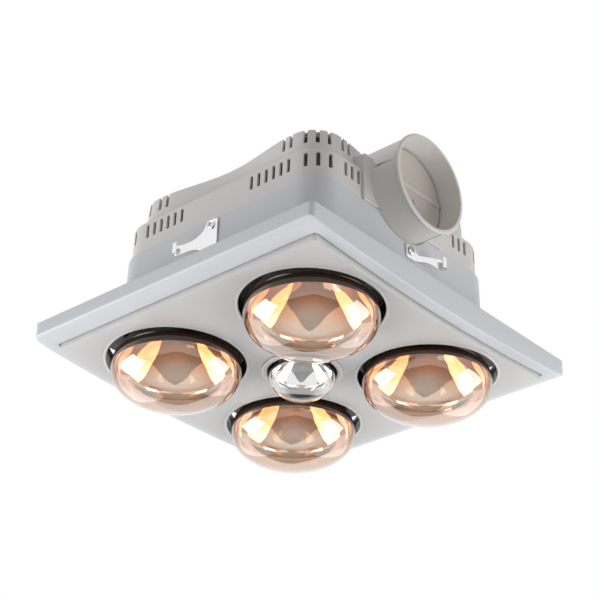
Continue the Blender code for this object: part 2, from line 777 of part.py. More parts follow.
def lower_case():
    corner = TIER_CORNER_R
    top = TIER1_HALF - TIER1_DRAFT
    inner_corner = corner - CASE_WALL
    ledge = top - CASE_WALL - LEDGE_WIDTH
    rings = [square_ring(FLANGE_HALF, FLANGE_CORNER_R, -FLANGE_T),
             square_ring(FLANGE_HALF, FLANGE_CORNER_R, 0),
             square_ring(TIER1_HALF, corner, 0),
             square_ring(top, corner, TIER1_TOP_Z),
             square_ring(ledge, inner_corner - LEDGE_WIDTH, TIER1_TOP_Z),
             square_ring(ledge, inner_corner - LEDGE_WIDTH, TIER1_TOP_Z - LEDGE_T),
             square_ring(top - CASE_WALL, inner_corner, TIER1_TOP_Z - LEDGE_T),
             square_ring(TIER1_HALF - CASE_WALL, inner_corner, -FLANGE_T)]
    body = ring_loft("lower_case", rings)
    combine(body, outlet_cylinder(), "DIFFERENCE")
    holes = [cylinder("stud_hole", STUD_TIP_R + SEAT_GAP * 2,
                      (sx * STUD_AT, sy * STUD_AT, -FLANGE_T - CUT_OVERRUN),
                      (sx * STUD_AT, sy * STUD_AT, CUT_OVERRUN), SMALL)
             for sx, sy in LAMP_SIGNS]
    for quarter in range(4):
        holes.append(clip_hole(quarter))
    combine(body, several("holes", holes), "DIFFERENCE")
    return named(body, "lower_case", SHELL)


def slot_cutter(x, y, angle, low, high):
    """One upright slot through a wall whose outward direction is given."""
    box = cuboid("slot", (-SLOT_DEPTH, -SLOT_WIDTH / 2, low), (CUT_OVERRUN, SLOT_WIDTH / 2, high))
    box.data.transform(Matrix.Translation((x, y, 0)) @ Matrix.Rotation(angle, 4, "Z"))
    return box


def tower_slots(half, corner_r, low, high, first, side_count, corner_count, tools):
    """Slots of the four corner towers: along both faces, and round the corner between."""
    straight = half - corner_r
    for quarter in range(4):
        turn = Matrix.Rotation(quarter * math.pi / 2, 2)
        base = quarter * math.pi / 2
        for i in range(side_count):
            along = first + i * SLOT_PITCH
            if along > straight:
                continue
            for side in (1, -1):
                if quarter == 0 and along - SLOT_WIDTH < BOX_HALF + abs(DUCT_Y):
                    continue
                place = turn @ Vector((half, side * along))
                tools.append(slot_cutter(place.x, place.y, base, low, high))
        for i in range(corner_count):
            angle = math.pi / 2 * (i + 1) / (corner_count + 1)
            place = turn @ Vector((straight + corner_r * math.cos(angle),
                                   straight + corner_r * math.sin(angle)))
            tools.append(slot_cutter(place.x, place.y, base + angle, low, high))


def upper_case():
    corner = TIER_CORNER_R
    half2, half3 = tier2_half(), tier3_half()
    top2, top3 = half2 - TIER2_DRAFT, half3 - TIER3_DRAFT
    low = TIER1_TOP_Z + SEAT_GAP
    seat = TIER3_TOP_Z - COVER_SEAT_DEPTH
    wall = CASE_WALL
    inner = corner - wall
    rings = [square_ring(half2, corner, low),
             square_ring(top2, corner, TIER2_TOP_Z - TIER2_ROUND),
             square_ring(top2 - TIER2_ROUND / 3, corner, TIER2_TOP_Z - TIER2_ROUND / 3),
             square_ring(top2 - TIER2_ROUND, corner - TIER2_ROUND, TIER2_TOP_Z),
             square_ring(half3, corner, TIER2_TOP_Z, WAIST),
             square_ring(top3, corner, TIER3_TOP_Z - TIER3_ROUND, WAIST),
             square_ring(top3 - TIER3_ROUND, corner, TIER3_TOP_Z, WAIST),
             square_ring(top3 - wall, inner, TIER3_TOP_Z, WAIST),
             square_ring(top3 - wall, inner, seat, WAIST),
             square_ring(top3 - wall - COVER_SEAT_WIDTH, inner, seat, WAIST),
             square_ring(top3 - wall - COVER_SEAT_WIDTH, inner, seat - COVER_SEAT_T, WAIST),
             square_ring(top3 - wall, inner, seat - COVER_SEAT_T, WAIST),
             square_ring(half3 - wall, inner, tier2_inner_top(), WAIST),
             square_ring(top2 - wall, inner, tier2_inner_top()),
             square_ring(half2 - wall, inner, low)]
    body = ring_loft("upper_case", rings)
    combine(body, outlet_cylinder(), "DIFFERENCE")
    notch = cuboid("box_way",
                   (half3 - WAIST - wall - CUT_OVERRUN, DUCT_Y - BOX_HALF - PLUG_GAP, TIER1_TOP_Z),
                   (DUCT_MOUTH_X, DUCT_Y + BOX_HALF + PLUG_GAP, BOX_TOP_Z + PLUG_GAP))
    combine(body, notch, "DIFFERENCE")
    tools = []
    slot_top = TIER2_TOP_Z - SLOT2_BELOW_TOP
    tower_slots(half2, corner, slot_top - SLOT_HEIGHT, slot_top, SLOT_FIRST, SIDE_SLOTS, CORNER_SLOTS, tools)
    straight3 = half3 - corner
    tower_slots(half3, corner, TIER3_TOP_Z - SLOT3_HEIGHT, TIER3_TOP_Z + CUT_OVERRUN,
                straight3 - TOP_SIDE_SLOTS * SLOT_PITCH + SLOT_PITCH / 2, TOP_SIDE_SLOTS,
                TOP_CORNER_SLOTS, tools)
    gland = cylinder("gland_way", GLAND_R + SEAT_GAP, (-half2 - CUT_OVERRUN, 0, GLAND_Z),
                     (-half2 + wall + CUT_OVERRUN, 0, GLAND_Z), SMALL)
    tools.append(gland)
    combine(body, several("slots", tools), "DIFFERENCE")
    return named(body, "upper_case", CREAM)


def top_cover():
    """Flat lid inside the rim of the third tier, drawn up into a round dome over the motor."""
    edge = tier3_half() - TIER3_DRAFT - CASE_WALL - PLUG_GAP
    low = TIER3_TOP_Z - COVER_SEAT_DEPTH + SEAT_GAP
    high = low + COVER_T
    inner = TIER_CORNER_R - CASE_WALL
    body = ring_loft("cover", [square_ring(edge, inner, low, WAIST), square_ring(edge, inner, high, WAIST)],
                     closed_section=False)
    dome = turned("dome", [(0, DOME_TOP_Z), (DOME_R - DOME_DRAFT * 2, DOME_TOP_Z),
                           (DOME_R - DOME_DRAFT, DOME_TOP_Z - DOME_DRAFT), (DOME_R, low + COVER_T / 2),
                           (0, low + COVER_T / 2)], None, (FAN_X, FAN_Y), FINE)
    combine(body, dome, "UNION")
    core_top = DOME_TOP_Z - COVER_T
    core = turned("dome_core", [(0, core_top), (DOME_R - DOME_DRAFT * 2 - COVER_T, core_top),
                                (DOME_R - DOME_DRAFT - COVER_T, core_top - DOME_DRAFT),
                                (DOME_R - COVER_T, low - CUT_OVERRUN), (0, low - CUT_OVERRUN)],
                  None, (FAN_X, FAN_Y), FINE)
    combine(body, core, "DIFFERENCE")
    combine(body, outlet_cylinder(), "DIFFERENCE")
    return named(body, "top_cover", SHELL)


def heat_shield():
    half = TIER1_HALF - TIER1_DRAFT - CASE_WALL - SHIELD_EDGE
    low = shield_low()
    corner = TIER_CORNER_R - CASE_WALL
    body = prism("heat_shield", half, half, corner, low, low + SHIELD_T)
    tools = [cylinder("neck_hole", SHIELD_NECK_HOLE_R, (sx * LAMP_AT, sy * LAMP_AT, low - CUT_OVERRUN),
                      (sx * LAMP_AT, sy * LAMP_AT, low + CUT_OVERRUN), FINE) for sx, sy in LAMP_SIGNS]
    combine(body, several("neck_holes", tools), "DIFFERENCE")
    vents = turned("vents", [(VENT_OUTER_R, low + CUT_OVERRUN), (VENT_OUTER_R, low - CUT_OVERRUN),
                             (VENT_INNER_R, low - CUT_OVERRUN), (VENT_INNER_R, low + CUT_OVERRUN)],
                   None, (0, 0), FINE, True)
    for quarter in range(2):
        arm = cuboid("arm", (-VENT_OUTER_R - CUT_OVERRUN, -VENT_ARM_WIDTH / 2, low - CUT_OVERRUN * 2),
                     (VENT_OUTER_R + CUT_OVERRUN, VENT_ARM_WIDTH / 2, low + CUT_OVERRUN * 2))
        arm.data.transform(Matrix.Rotation(math.pi / 4 + quarter * math.pi / 2, 4, "Z"))
        combine(vents, arm, "DIFFERENCE")
    combine(body, vents, "DIFFERENCE")
    combine(body, outlet_cylinder(), "DIFFERENCE")
    return named(body, "heat_shield", ALUMINIUM, False)


def lamp_chassis():
    """Plate under the shoulder of the second tier, open round the fan and its outlet."""
    half = tier2_half() - TIER2_DRAFT - CASE_WALL - SHIELD_EDGE
    high = tier2_inner_top() - SEAT_GAP
    low = high - CHASSIS_T
    body = prism("lamp_chassis", half, half, TIER_CORNER_R - CASE_WALL, low, high)
    reach = SCROLL_END_R + SCROLL_WALL + SLIDE_GAP * 2
    way = outline_solid("fan_way", [scroll_outline(reach - SCROLL_END_R, half * 2)],
                        low - CUT_OVERRUN, high + CUT_OVERRUN)
    combine(body, way, "DIFFERENCE")
    box = cuboid("box_way", (BOX_BACK_X - SLIDE_GAP, DUCT_Y - BOX_HALF - PLUG_GAP, low - CUT_OVERRUN),
                 (half * 2, DUCT_Y + BOX_HALF + PLUG_GAP, high + CUT_OVERRUN))
    combine(body, box, "DIFFERENCE")
    return named(body, "lamp_chassis", STEEL, False)


# Fan

SCROLL_STEPS = 24


def scroll_outline(offset, mouth_x):
    """Volute: a spiral that opens from the cut-off to a straight outlet on +X."""
    points = []
    end = 3 * math.pi / 2
    for i in range(SCROLL_STEPS + 1):
        share = i / SCROLL_STEPS
        angle = SCROLL_CUT_ANGLE + (end - SCROLL_CUT_ANGLE) * share
        radius = SCROLL_CUT_R + (SCROLL_END_R - SCROLL_CUT_R) * share + offset
        points.append((FAN_X + radius * math.cos(angle), FAN_Y + radius * math.sin(angle)))
    points.append((mouth_x, points[-1][1]))
    points.append((mouth_x, points[0][1]))
    return points


def scroll_case():
    mouth = BOX_BACK_X - SEAT_GAP
    low = base_z()
    body = outline_solid("scroll", [scroll_outline(SCROLL_WALL, mouth)], low, SCROLL_TOP_Z)
    hollow = outline_solid("scroll_hollow", [scroll_outline(0, mouth + CUT_OVERRUN)], low + SCROLL_WALL,
                           SCROLL_TOP_Z + CUT_OVERRUN)
    combine(body, hollow, "DIFFERENCE")
    inlet = cylinder("inlet", INLET_R, (FAN_X, FAN_Y, low - CUT_OVERRUN),
                     (FAN_X, FAN_Y, low + SCROLL_WALL + CUT_OVERRUN), FINE)
    combine(body, inlet, "DIFFERENCE")
    return named(body, "scroll_case", ZINC)


def scroll_lid():
    low = SCROLL_TOP_Z + SEAT_GAP
    mouth = BOX_BACK_X - SEAT_GAP
    body = outline_solid("lid", [scroll_outline(SCROLL_WALL, mouth)], low, low + SCROLL_LID_T)
    hole = cylinder("motor_hole", MOTOR_R + MOTOR_HOLE_GAP, (FAN_X, FAN_Y, low - CUT_OVERRUN),
                    (FAN_X, FAN_Y, low + CUT_OVERRUN), FINE)
    combine(body, hole, "DIFFERENCE")
    return named(body, "scroll_lid", ZINC)


def blade_outline(index):
    """One forward-curved blade between the eye and the rim, as a thin arc."""
    start = 2 * math.pi * index / BLADE_COUNT
    middle = []
    steps = 2
    for i in range(steps + 1):
        share = i / steps
        radius = WHEEL_EYE_R + (WHEEL_R - WHEEL_EYE_R) * share
        angle = start + BLADE_SWEEP * share ** 1.6
        middle.append((radius, angle))
    outer, inner = [], []
    for radius, angle in middle:
        half = BLADE_T / 2 / radius
        outer.append((radius * math.cos(angle + half), radius * math.sin(angle + half)))
        inner.append((radius * math.cos(angle - half), radius * math.sin(angle - half)))
    return [(FAN_X + x, FAN_Y + y) for x, y in outer + list(reversed(inner))]


def impeller():
    """Squirrel-cage wheel: blades between a back plate with its hub and a rim ring."""
    low, high = WHEEL_BOTTOM_Z, WHEEL_TOP_Z
    plate_low = high - WHEEL_PLATE_T
    bore = SHAFT_R
    over = BLADE_T
    profile = [(bore, high), (WHEEL_R + over, high), (WHEEL_R + over, plate_low), (HUB_R, plate_low),
               (HUB_R, high - HUB_LENGTH), (bore, high - HUB_LENGTH)]
    body = turned("wheel", profile, None, (FAN_X, FAN_Y), FINE, True)
    blades = [outline_solid("blade", [blade_outline(i)], low + WHEEL_RING_T / 2,
                            plate_low + WHEEL_PLATE_T / 2) for i in range(BLADE_COUNT)]
    combine(body, several("blades", blades), "UNION")
    inner = WHEEL_EYE_R + (WHEEL_R - WHEEL_EYE_R) / 2
    ring = [(WHEEL_R + over, low + WHEEL_RING_T), (WHEEL_R + over, low), (inner, low),
            (inner, low + WHEEL_RING_T)]
    combine(body, turned("ring", ring, None, (FAN_X, FAN_Y), FINE, True), "UNION")
    return named(body, "impeller", STEEL)


def motor_shaft():
    top = (MOTOR_BOTTOM_Z + MOTOR_TOP_Z) / 2
    low = WHEEL_TOP_Z - HUB_LENGTH
    shaft = cylinder("shaft", SHAFT_R - SHAFT_GAP, (FAN_X, FAN_Y, low), (FAN_X, FAN_Y, top), SMALL)
    return named(shaft, "motor_shaft", STEEL)


def motor():
    flange_low = SCROLL_TOP_Z + SCROLL_LID_T + SEAT_GAP * 2
    flange_high = flange_low + MOTOR_FLANGE_T
    bore = SHAFT_R + SHAFT_GAP
    bore_top = (MOTOR_BOTTOM_Z + MOTOR_TOP_Z) / 2 + SEAT_GAP
    edge = MOTOR_EDGE
    profile = [(0, MOTOR_TOP_Z), (MOTOR_R - edge, MOTOR_TOP_Z), (MOTOR_R, MOTOR_TOP_Z - edge),
               (MOTOR_R, flange_high), (MOTOR_FLANGE_R, flange_high), (MOTOR_FLANGE_R, flange_low),
               (MOTOR_R, flange_low), (MOTOR_R, MOTOR_BOTTOM_Z + edge), (MOTOR_R - edge, MOTOR_BOTTOM_Z),
               (bore, MOTOR_BOTTOM_Z), (bore, bore_top), (0, bore_top)]
    return turned("motor", profile, STEEL, (FAN_X, FAN_Y), ROUND)


# Outlet

def outlet_collar():
    """Outlet box with its round spigot and rolled lip, one moulding."""
    face = tier2_half() + BOX_PROUD
    root = BOX_BACK_X
    low = TIER1_TOP_Z + PLUG_GAP
    body = cuboid("collar", (BOX_BACK_X, DUCT_Y - BOX_HALF, low), (face, DUCT_Y + BOX_HALF, BOX_TOP_Z))
    tube = cylinder("tube", DUCT_R, (root, DUCT_Y, DUCT_Z), (DUCT_MOUTH_X, DUCT_Y, DUCT_Z), FINE)
    combine(body, tube, "UNION")
    lip = cylinder("lip", DUCT_R + DUCT_LIP, (DUCT_MOUTH_X - DUCT_LIP_LENGTH, DUCT_Y, DUCT_Z),
                   (DUCT_MOUTH_X, DUCT_Y, DUCT_Z), FINE)
    combine(body, lip, "UNION")
    bore = cylinder("bore", DUCT_R - DUCT_WALL, (root + DUCT_WALL, DUCT_Y, DUCT_Z),
                    (DUCT_MOUTH_X + CUT_OVERRUN, DUCT_Y, DUCT_Z), FINE)
    combine(body, bore, "DIFFERENCE")
    room = cuboid("room", (BOX_BACK_X - CUT_OVERRUN, DUCT_Y - BOX_HALF + BOX_WALL, low + BOX_WALL),
                  (face - BOX_WALL, DUCT_Y + BOX_HALF - BOX_WALL, BOX_TOP_Z - BOX_WALL))
    combine(body, room, "DIFFERENCE")
    pivot = DUCT_Z + FLAP_PIVOT_RISE
    hole = cylinder("pin_hole", PIN_R + PIN_GAP, (FLAP_X, DUCT_Y - DUCT_R - CUT_OVERRUN, pivot),
                    (FLAP_X, DUCT_Y + DUCT_R + CUT_OVERRUN, pivot), SMALL)
    combine(body, hole, "DIFFERENCE")
    return named(body, "outlet_collar", GREY)


def flap():
    """Round blade on a cross pin a little above its middle, so that it hangs shut."""
    radius = DUCT_R - DUCT_WALL - FLAP_GAP
    pivot = DUCT_Z + FLAP_PIVOT_RISE
    body = cylinder("flap", radius, (FLAP_X - FLAP_T / 2, DUCT_Y, DUCT_Z),
                    (FLAP_X + FLAP_T / 2, DUCT_Y, DUCT_Z), FINE)
    reach = math.sqrt(radius ** 2 - FLAP_PIVOT_RISE ** 2) - FLAP_BARREL_R
    barrel = cylinder("barrel", FLAP_BARREL_R, (FLAP_X, DUCT_Y - reach, pivot),
                      (FLAP_X, DUCT_Y + reach, pivot), SMALL)
    combine(body, barrel, "UNION")
    bore = cylinder("bore", PIN_R + PIN_GAP, (FLAP_X, DUCT_Y - DUCT_R, pivot),
                    (FLAP_X, DUCT_Y + DUCT_R, pivot), SMALL)
    combine(body, bore, "DIFFERENCE")
    named(body, "flap", FLAP_GREY)
    half = math.sqrt(DUCT_R ** 2 - (FLAP_PIVOT_RISE + PIN_R) ** 2)
    pin = cylinder("pin", PIN_R, (FLAP_X, DUCT_Y - half, pivot), (FLAP_X, DUCT_Y + half, pivot), SMALL)
    named(pin, "flap_pin", STEEL)


# Side clamps

CLIP_TURNS = ((3, 1), (0, -1), (1, 1), (2, -1))


def clip_wall_at(height):
    share = height / TIER1_TOP_Z
    return TIER1_HALF - TIER1_DRAFT * share


def clip_heights(quarter):
    """Pivot and foot of a clamp: the one under the outlet is screwed on lower, clear of the tube."""
    if quarter == 0:
        return CLIP_LOW_PIVOT_Z, CLIP_LOW_PIVOT_Z - CLIP_LOW_DROP
    return CLIP_PIVOT_Z, CLIP_PIVOT_Z - CLIP_DROP


def clip_hole(quarter):
    turn = Matrix.Rotation(quarter * math.pi / 2, 4, "Z")
    pivot = clip_heights(quarter)[0]
    hole = cylinder("clip_hole", SCREW_R + SCREW_GAP, (TIER1_HALF - CASE_WALL - CUT_OVERRUN, 0, pivot),
                    (TIER1_HALF + CUT_OVERRUN, 0, pivot), SMALL)
    hole.data.transform(turn)
    return hole


def clip_columns(pivot, foot):
    """Stations of the strip: distance along the wall, distance off it, low and high edge."""
    top = pivot + CLIP_PLATE_TOP
    half = CLIP_PLATE_W / 2
    columns = [(half, 0, foot, top - CLIP_PLATE_TOP / 2), (half / 3, 0, foot, top),
               (-half / 3, 0, foot, top), (-half, 0, foot, top - CLIP_PLATE_TOP / 2)]
    steps = 5
    for i in range(1, steps + 1):
        share = i / steps
        along = -half - (CLIP_ARM_REACH - half) * share
        out = CLIP_ARM_OUT * share ** 1.5
        bow = CLIP_ARM_HEIGHT / 3 * math.sin(math.pi * share)
        arm_top = foot + CLIP_ARM_HEIGHT + (pivot - foot - CLIP_ARM_HEIGHT) * (1 - share) ** 2
        columns.append((along, out, foot + bow, arm_top))
    end_along, end_out = columns[-1][0], columns[-1][1]
    for i in range(1, 6):
        angle = math.pi * 1.25 * i / 5
        columns.append((end_along - CLIP_CURL_R * math.sin(angle),
                        end_out + CLIP_CURL_R * (1 - math.cos(angle)), foot, foot + CLIP_ARM_HEIGHT))
    return columns


def side_clip(number, quarter, hand):
    """Spring-steel clamp arm that turns on its screw, flat against the case and curled at its end."""
    bm = bmesh.new()
    rows = 1
    pivot, foot = clip_heights(quarter)
    face = clip_wall_at(foot) + CLIP_STAND_OFF
    grid = []
    for along, out, low, high in clip_columns(pivot, foot):
        grid.append([bm.verts.new((face + out, along * hand, low + (high - low) * j / rows))
                     for j in range(rows + 1)])
    for first, second in zip(grid, grid[1:]):
        for j in range(rows):
            bm.faces.new((first[j], second[j], second[j + 1], first[j + 1]))
    bmesh.ops.recalc_face_normals(bm, faces=bm.faces)
    mesh = bpy.data.meshes.new("clip")
    bm.to_mesh(mesh)
    bm.free()
    item = add("clip", mesh)
    thick = item.modifiers.new("thickness", "SOLIDIFY")
    thick.thickness = CLIP_T
    thick.offset = 0
    body = baked(item)
    bore = cylinder("clip_bore", SCREW_R + SCREW_GAP, (face - CUT_OVERRUN, 0, pivot),
                    (face + CUT_OVERRUN, 0, pivot), SMALL)
    combine(body, bore, "DIFFERENCE")
    body.data.transform(Matrix.Rotation(quarter * math.pi / 2, 4, "Z"))
    named(body, "side_clip_%d" % number, CHROME)
    tip = TIER1_HALF - CASE_WALL - SCREW_HEAD_T
    head = face + CLIP_T / 2 + SEAT_GAP
    screw = turned("screw", [(0, head + SCREW_HEAD_T), (SCREW_HEAD_R * 0.6, head + SCREW_HEAD_T),
                             (SCREW_HEAD_R, head + SCREW_HEAD_T / 3), (SCREW_HEAD_R, head), (SCREW_R, head),
                             (SCREW_R, tip), (0, tip)], None, (0, 0), SMALL)
    lie = Matrix.Rotation(quarter * math.pi / 2, 4, "Z") @ Matrix.Translation((0, 0, pivot))
    screw.data.transform(lie @ Matrix.Rotation(math.pi / 2, 4, "Y"))
    named(screw, "clip_screw_%d" % number, STEEL)


# Electrical pieces

def cable_gland():
    """Bored inlet through the wall of the second tier, with a nut on each side."""
    wall = tier2_half() - TIER2_DRAFT / 2
    outside = wall + SEAT_GAP
    inside = wall - CASE_WALL - SEAT_GAP
    profile = [(GLAND_BORE_R, outside + GLAND_OUT), (GLAND_R - SEAT_GAP, outside + GLAND_OUT),
               (GLAND_R, outside + GLAND_NUT_T), (GLAND_NUT_R, outside + GLAND_NUT_T),
               (GLAND_NUT_R, outside), (GLAND_R, outside), (GLAND_R, inside), (GLAND_NUT_R, inside),
               (GLAND_NUT_R, inside - GLAND_NUT_T), (GLAND_R, inside - GLAND_NUT_T),
               (GLAND_R, inside - GLAND_IN), (GLAND_BORE_R, inside - GLAND_IN)]
    lie = Matrix.Translation((0, 0, GLAND_Z)) @ Matrix.Rotation(-math.pi / 2, 4, "Y")
    return turned("cable_gland", profile, BLACK_PLASTIC, (0, 0), SMALL, True, lie)


def terminal_block():
    low = base_z()
    x = -TIER1_HALF + TERMINAL_INSET
    body = cuboid("terminal", (x - TERMINAL_X / 2, -TERMINAL_Y / 2, low),
                  (x + TERMINAL_X / 2, TERMINAL_Y / 2, low + TERMINAL_Z))
    ways = 4
    tools = []
    for i in range(ways):
        y = TERMINAL_Y * ((i + 0.5) / ways - 0.5)
        tools.append(cylinder("way", TERMINAL_WAY_R, (x, y, low + TERMINAL_Z / 2),
                              (x, y, low + TERMINAL_Z * 2), SMALL // 2))
    combine(body, several("ways", tools), "DIFFERENCE")
    return named(body, "terminal_block", CERAMIC, False)


def capacitor():
    low = base_z()
    high = low + CAPACITOR_L
    radius = CAPACITOR_R
    edge = CAPACITOR_ROUND
    profile = [(0, high), (radius - edge, high), (radius, high - edge), (radius, low), (0, low)]
    centre = (FAN_X, CAPACITOR_INSET - TIER1_HALF)
    return turned("capacitor", profile, BLACK_PLASTIC, centre, SMALL)


def build():
    fascia_frame()
    fascia_plate()
    for number, (sx, sy) in enumerate(LAMP_SIGNS, 1):
        lamp_bezel(number, sx, sy)
        lamp_collar(number, sx, sy)
    centre_trim_ring()
    lamps()
    centre_light()
    lower_case()
    upper_case()
    top_cover()
    heat_shield()
    lamp_chassis()
    scroll_case()
    scroll_lid()
    impeller()
    motor_shaft()
    motor()
    outlet_collar()
    flap()
    for number, (quarter, hand) in enumerate(CLIP_TURNS, 1):
        side_clip(number, quarter, hand)
    cable_gland()
    terminal_block()
    capacitor()


clear_scene()
PARTS = new_collection("bathroom_ceiling_heater")
CUTTERS = new_collection("cutters")
ENAMEL = finish("silver_enamel", (0.78, 0.80, 0.83), 0.35)
SATIN = finish("satin_plate", (0.74, 0.74, 0.75), 0.4, 0.2)
BLACK = finish("black_enamel", (0.02, 0.018, 0.016), 0.3)
AMBER = finish("amber_glass", (0.95, 0.72, 0.52), 0.05, 0.0, 0.9)
CLEAR = finish("clear_glass", (0.95, 0.95, 0.95), 0.05, 0.0, 0.9)
BLACK_PLASTIC = finish("black_plastic", (0.03, 0.03, 0.03), 0.5)
BRASS = finish("nickel_brass", (0.80, 0.76, 0.66), 0.3, 1.0)
CERAMIC = finish("white_ceramic", (0.86, 0.85, 0.82), 0.5)
STEEL = finish("zinc_steel", (0.62, 0.62, 0.62), 0.4, 1.0)
ZINC = finish("galvanised_sheet", (0.58, 0.60, 0.62), 0.45, 1.0)
ALUMINIUM = finish("aluminium_sheet", (0.80, 0.80, 0.80), 0.3, 1.0)
SHELL = finish("cool_grey_plastic", (0.70, 0.71, 0.75), 0.5)
CREAM = finish("warm_white_plastic", (0.76, 0.74, 0.72), 0.5)
GREY = finish("duct_grey_plastic", (0.66, 0.65, 0.62), 0.5)
FLAP_GREY = finish("flap_plastic", (0.52, 0.47, 0.43), 0.5)
CHROME = finish("bright_spring_steel", (0.88, 0.88, 0.86), 0.15, 1.0)
build()
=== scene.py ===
"""Looks of a bathroom ceiling heater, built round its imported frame.

Metres, +Z up. The origin is the centre of the fascia's rim on the ceiling plane, and the duct
outlet faces +X. The lamps and the fascia face down.
"""
import logging
import math
from collections.abc import Callable
from dataclasses import dataclass, field
from enum import Enum

import bmesh
import bpy
from mathutils import Matrix, Vector


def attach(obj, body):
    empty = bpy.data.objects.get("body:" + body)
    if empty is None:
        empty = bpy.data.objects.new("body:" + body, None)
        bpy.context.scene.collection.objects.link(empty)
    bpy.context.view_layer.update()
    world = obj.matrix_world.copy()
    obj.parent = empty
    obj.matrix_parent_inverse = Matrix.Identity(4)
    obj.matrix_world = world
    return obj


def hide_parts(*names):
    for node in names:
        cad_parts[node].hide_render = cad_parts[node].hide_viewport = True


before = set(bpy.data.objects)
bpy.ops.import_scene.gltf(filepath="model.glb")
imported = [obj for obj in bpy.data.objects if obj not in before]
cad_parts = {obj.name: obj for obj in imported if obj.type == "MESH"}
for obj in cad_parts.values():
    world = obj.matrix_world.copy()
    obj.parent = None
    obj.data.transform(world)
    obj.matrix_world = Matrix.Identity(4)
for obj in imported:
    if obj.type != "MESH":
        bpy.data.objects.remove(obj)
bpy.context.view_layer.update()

LOG = logging.getLogger("heater")

Ring = list[Vector]
Outline = list[tuple[float, float]]


# Mesh tools

def new_object(name: str, bm: bmesh.types.BMesh, sharp: float = 35.0) -> bpy.types.Object:
    """Turn a mesh under work into an object with smooth faces and sharp corners.

    Args:
        name: name of the piece.
        bm: the mesh, freed here.
        sharp: corners above this angle, in degrees, stay sharp.

    Returns:
        The new object, linked to the scene.
    """
    bmesh.ops.recalc_face_normals(bm, faces=bm.faces)
    mesh = bpy.data.meshes.new(name)
    bm.to_mesh(mesh)
    bm.free()
    mesh.shade_smooth()
    mesh.set_sharp_from_angle(angle=math.radians(sharp))
    made = bpy.data.objects.new(name, mesh)
    bpy.context.scene.collection.objects.link(made)
    return made


def settle(obj: bpy.types.Object, sharp: float = 35.0) -> None:
    """Apply an object's modifiers and place to its mesh.

    Args:
        obj: the object to settle.
        sharp: corners above this angle, in degrees, stay sharp.
    """
    bpy.context.view_layer.update()
    graph = bpy.context.evaluated_depsgraph_get()
    mesh = bpy.data.meshes.new_from_object(obj.evaluated_get(graph))
    mesh.transform(obj.matrix_world)
    obj.modifiers.clear()
    obj.data = mesh
    obj.matrix_world = Matrix()
    mesh.shade_smooth()
    mesh.set_sharp_from_angle(angle=math.radians(sharp))


def combine(body: bpy.types.Object, tool: bpy.types.Object, operation: str) -> None:
    """Join, cut or intersect a body with a tool, which is used up.

    Args:
        body: the object that changes.
        tool: the other object.
        operation: UNION, DIFFERENCE or INTERSECT.
    """
    change = body.modifiers.new("combine", "BOOLEAN")
    change.operation = operation
    change.object = tool
    change.solver = "EXACT"
    settle(body)
    bpy.data.objects.remove(tool, do_unlink=True)


def soften(obj: bpy.types.Object, width: float, steps: int = 2, angle: float = 32.0) -> None:
    """Round the corners of an object.

    Args:
        obj: the object.
        width: width of the rounding.
        steps: facets across it.
        angle: corners above this angle, in degrees, are rounded.
    """
    rounding = obj.modifiers.new("rounding", "BEVEL")
    rounding.width = width
    rounding.segments = steps
    rounding.limit_method = "ANGLE"
    rounding.angle_limit = math.radians(angle)
    rounding.use_clamp_overlap = True
    rounding.harden_normals = False
    settle(obj, 50.0)


def even_normals(obj: bpy.types.Object) -> None:
    """Keep flat faces flat under smooth shading."""
    weighted = obj.modifiers.new("even_normals", "WEIGHTED_NORMAL")
    weighted.keep_sharp = True
    weighted.weight = 60


def loft(name: str, rings: list[Ring], around: bool = True, capped: bool = False) -> bpy.types.Object:
    """Skin equal rings one after the other.

    Args:
        name: name of the piece.
        rings: outlines of equal counts.
        around: the last ring joins the first, so that the rings go round a section.
        capped: the first and last rings are filled.

    Returns:
        The new object.
    """
    bm = bmesh.new()
    loops = [[bm.verts.new(point) for point in ring] for ring in rings]
    count = len(loops[0])
    pairs = list(zip(loops, loops[1:]))
    if around:
        pairs.append((loops[-1], loops[0]))
    for lower, upper in pairs:
        for i in range(count):
            j = (i + 1) % count
            bm.faces.new((lower[i], lower[j], upper[j], upper[i]))
    if capped:
        bm.faces.new(list(reversed(loops[0])))
        bm.faces.new(loops[-1])
    return new_object(name, bm)


def lathe(name: str, profile: Outline, centre: tuple[float, float] = (0.0, 0.0), steps: int = 96,
          around: bool = True, sharp: float = 35.0) -> bpy.types.Object:
    """Turn a profile of radius and height about an upright axis.

    Args:
        name: name of the piece.
        profile: points of radius and height. A radius of zero closes on the axis.
        centre: where the axis stands.
        steps: facets round the axis.
        around: the profile's last point joins its first.
        sharp: corners above this angle, in degrees, stay sharp.

    Returns:
        The new object.
    """
    bm = bmesh.new()
    columns = []
    for radius, height in profile:
        if radius < 1e-7:
            columns.append([bm.verts.new((centre[0], centre[1], height))] * steps)
            continue
        ring = []
        for i in range(steps):
            angle = 2 * math.pi * i / steps
            ring.append(bm.verts.new((centre[0] + radius * math.cos(angle),
                                      centre[1] + radius * math.sin(angle), height)))
        columns.append(ring)
    pairs = list(zip(columns, columns[1:]))
    if around:
        pairs.append((columns[-1], columns[0]))
    for first, second in pairs:
        for i in range(steps):
            j = (i + 1) % steps
            corners = []
            for vert in (first[i], first[j], second[j], second[i]):
                if vert not in corners:
                    corners.append(vert)
            if len(corners) > 2:
                bm.faces.new(corners)
    return new_object(name, bm, sharp)


def block(name: str, low: tuple[float, float, float], high: tuple[float, float, float]) -> bpy.types.Object:
    """A cutting block between two corners."""
    bm = bmesh.new()
    size = [b - a for a, b in zip(low, high)]
    middle = [(a + b) / 2 for a, b in zip(low, high)]
    bmesh.ops.create_cube(bm, size=1.0, matrix=Matrix.Translation(middle) @ Matrix.Diagonal((*size, 1.0)))
    return new_object(name, bm)


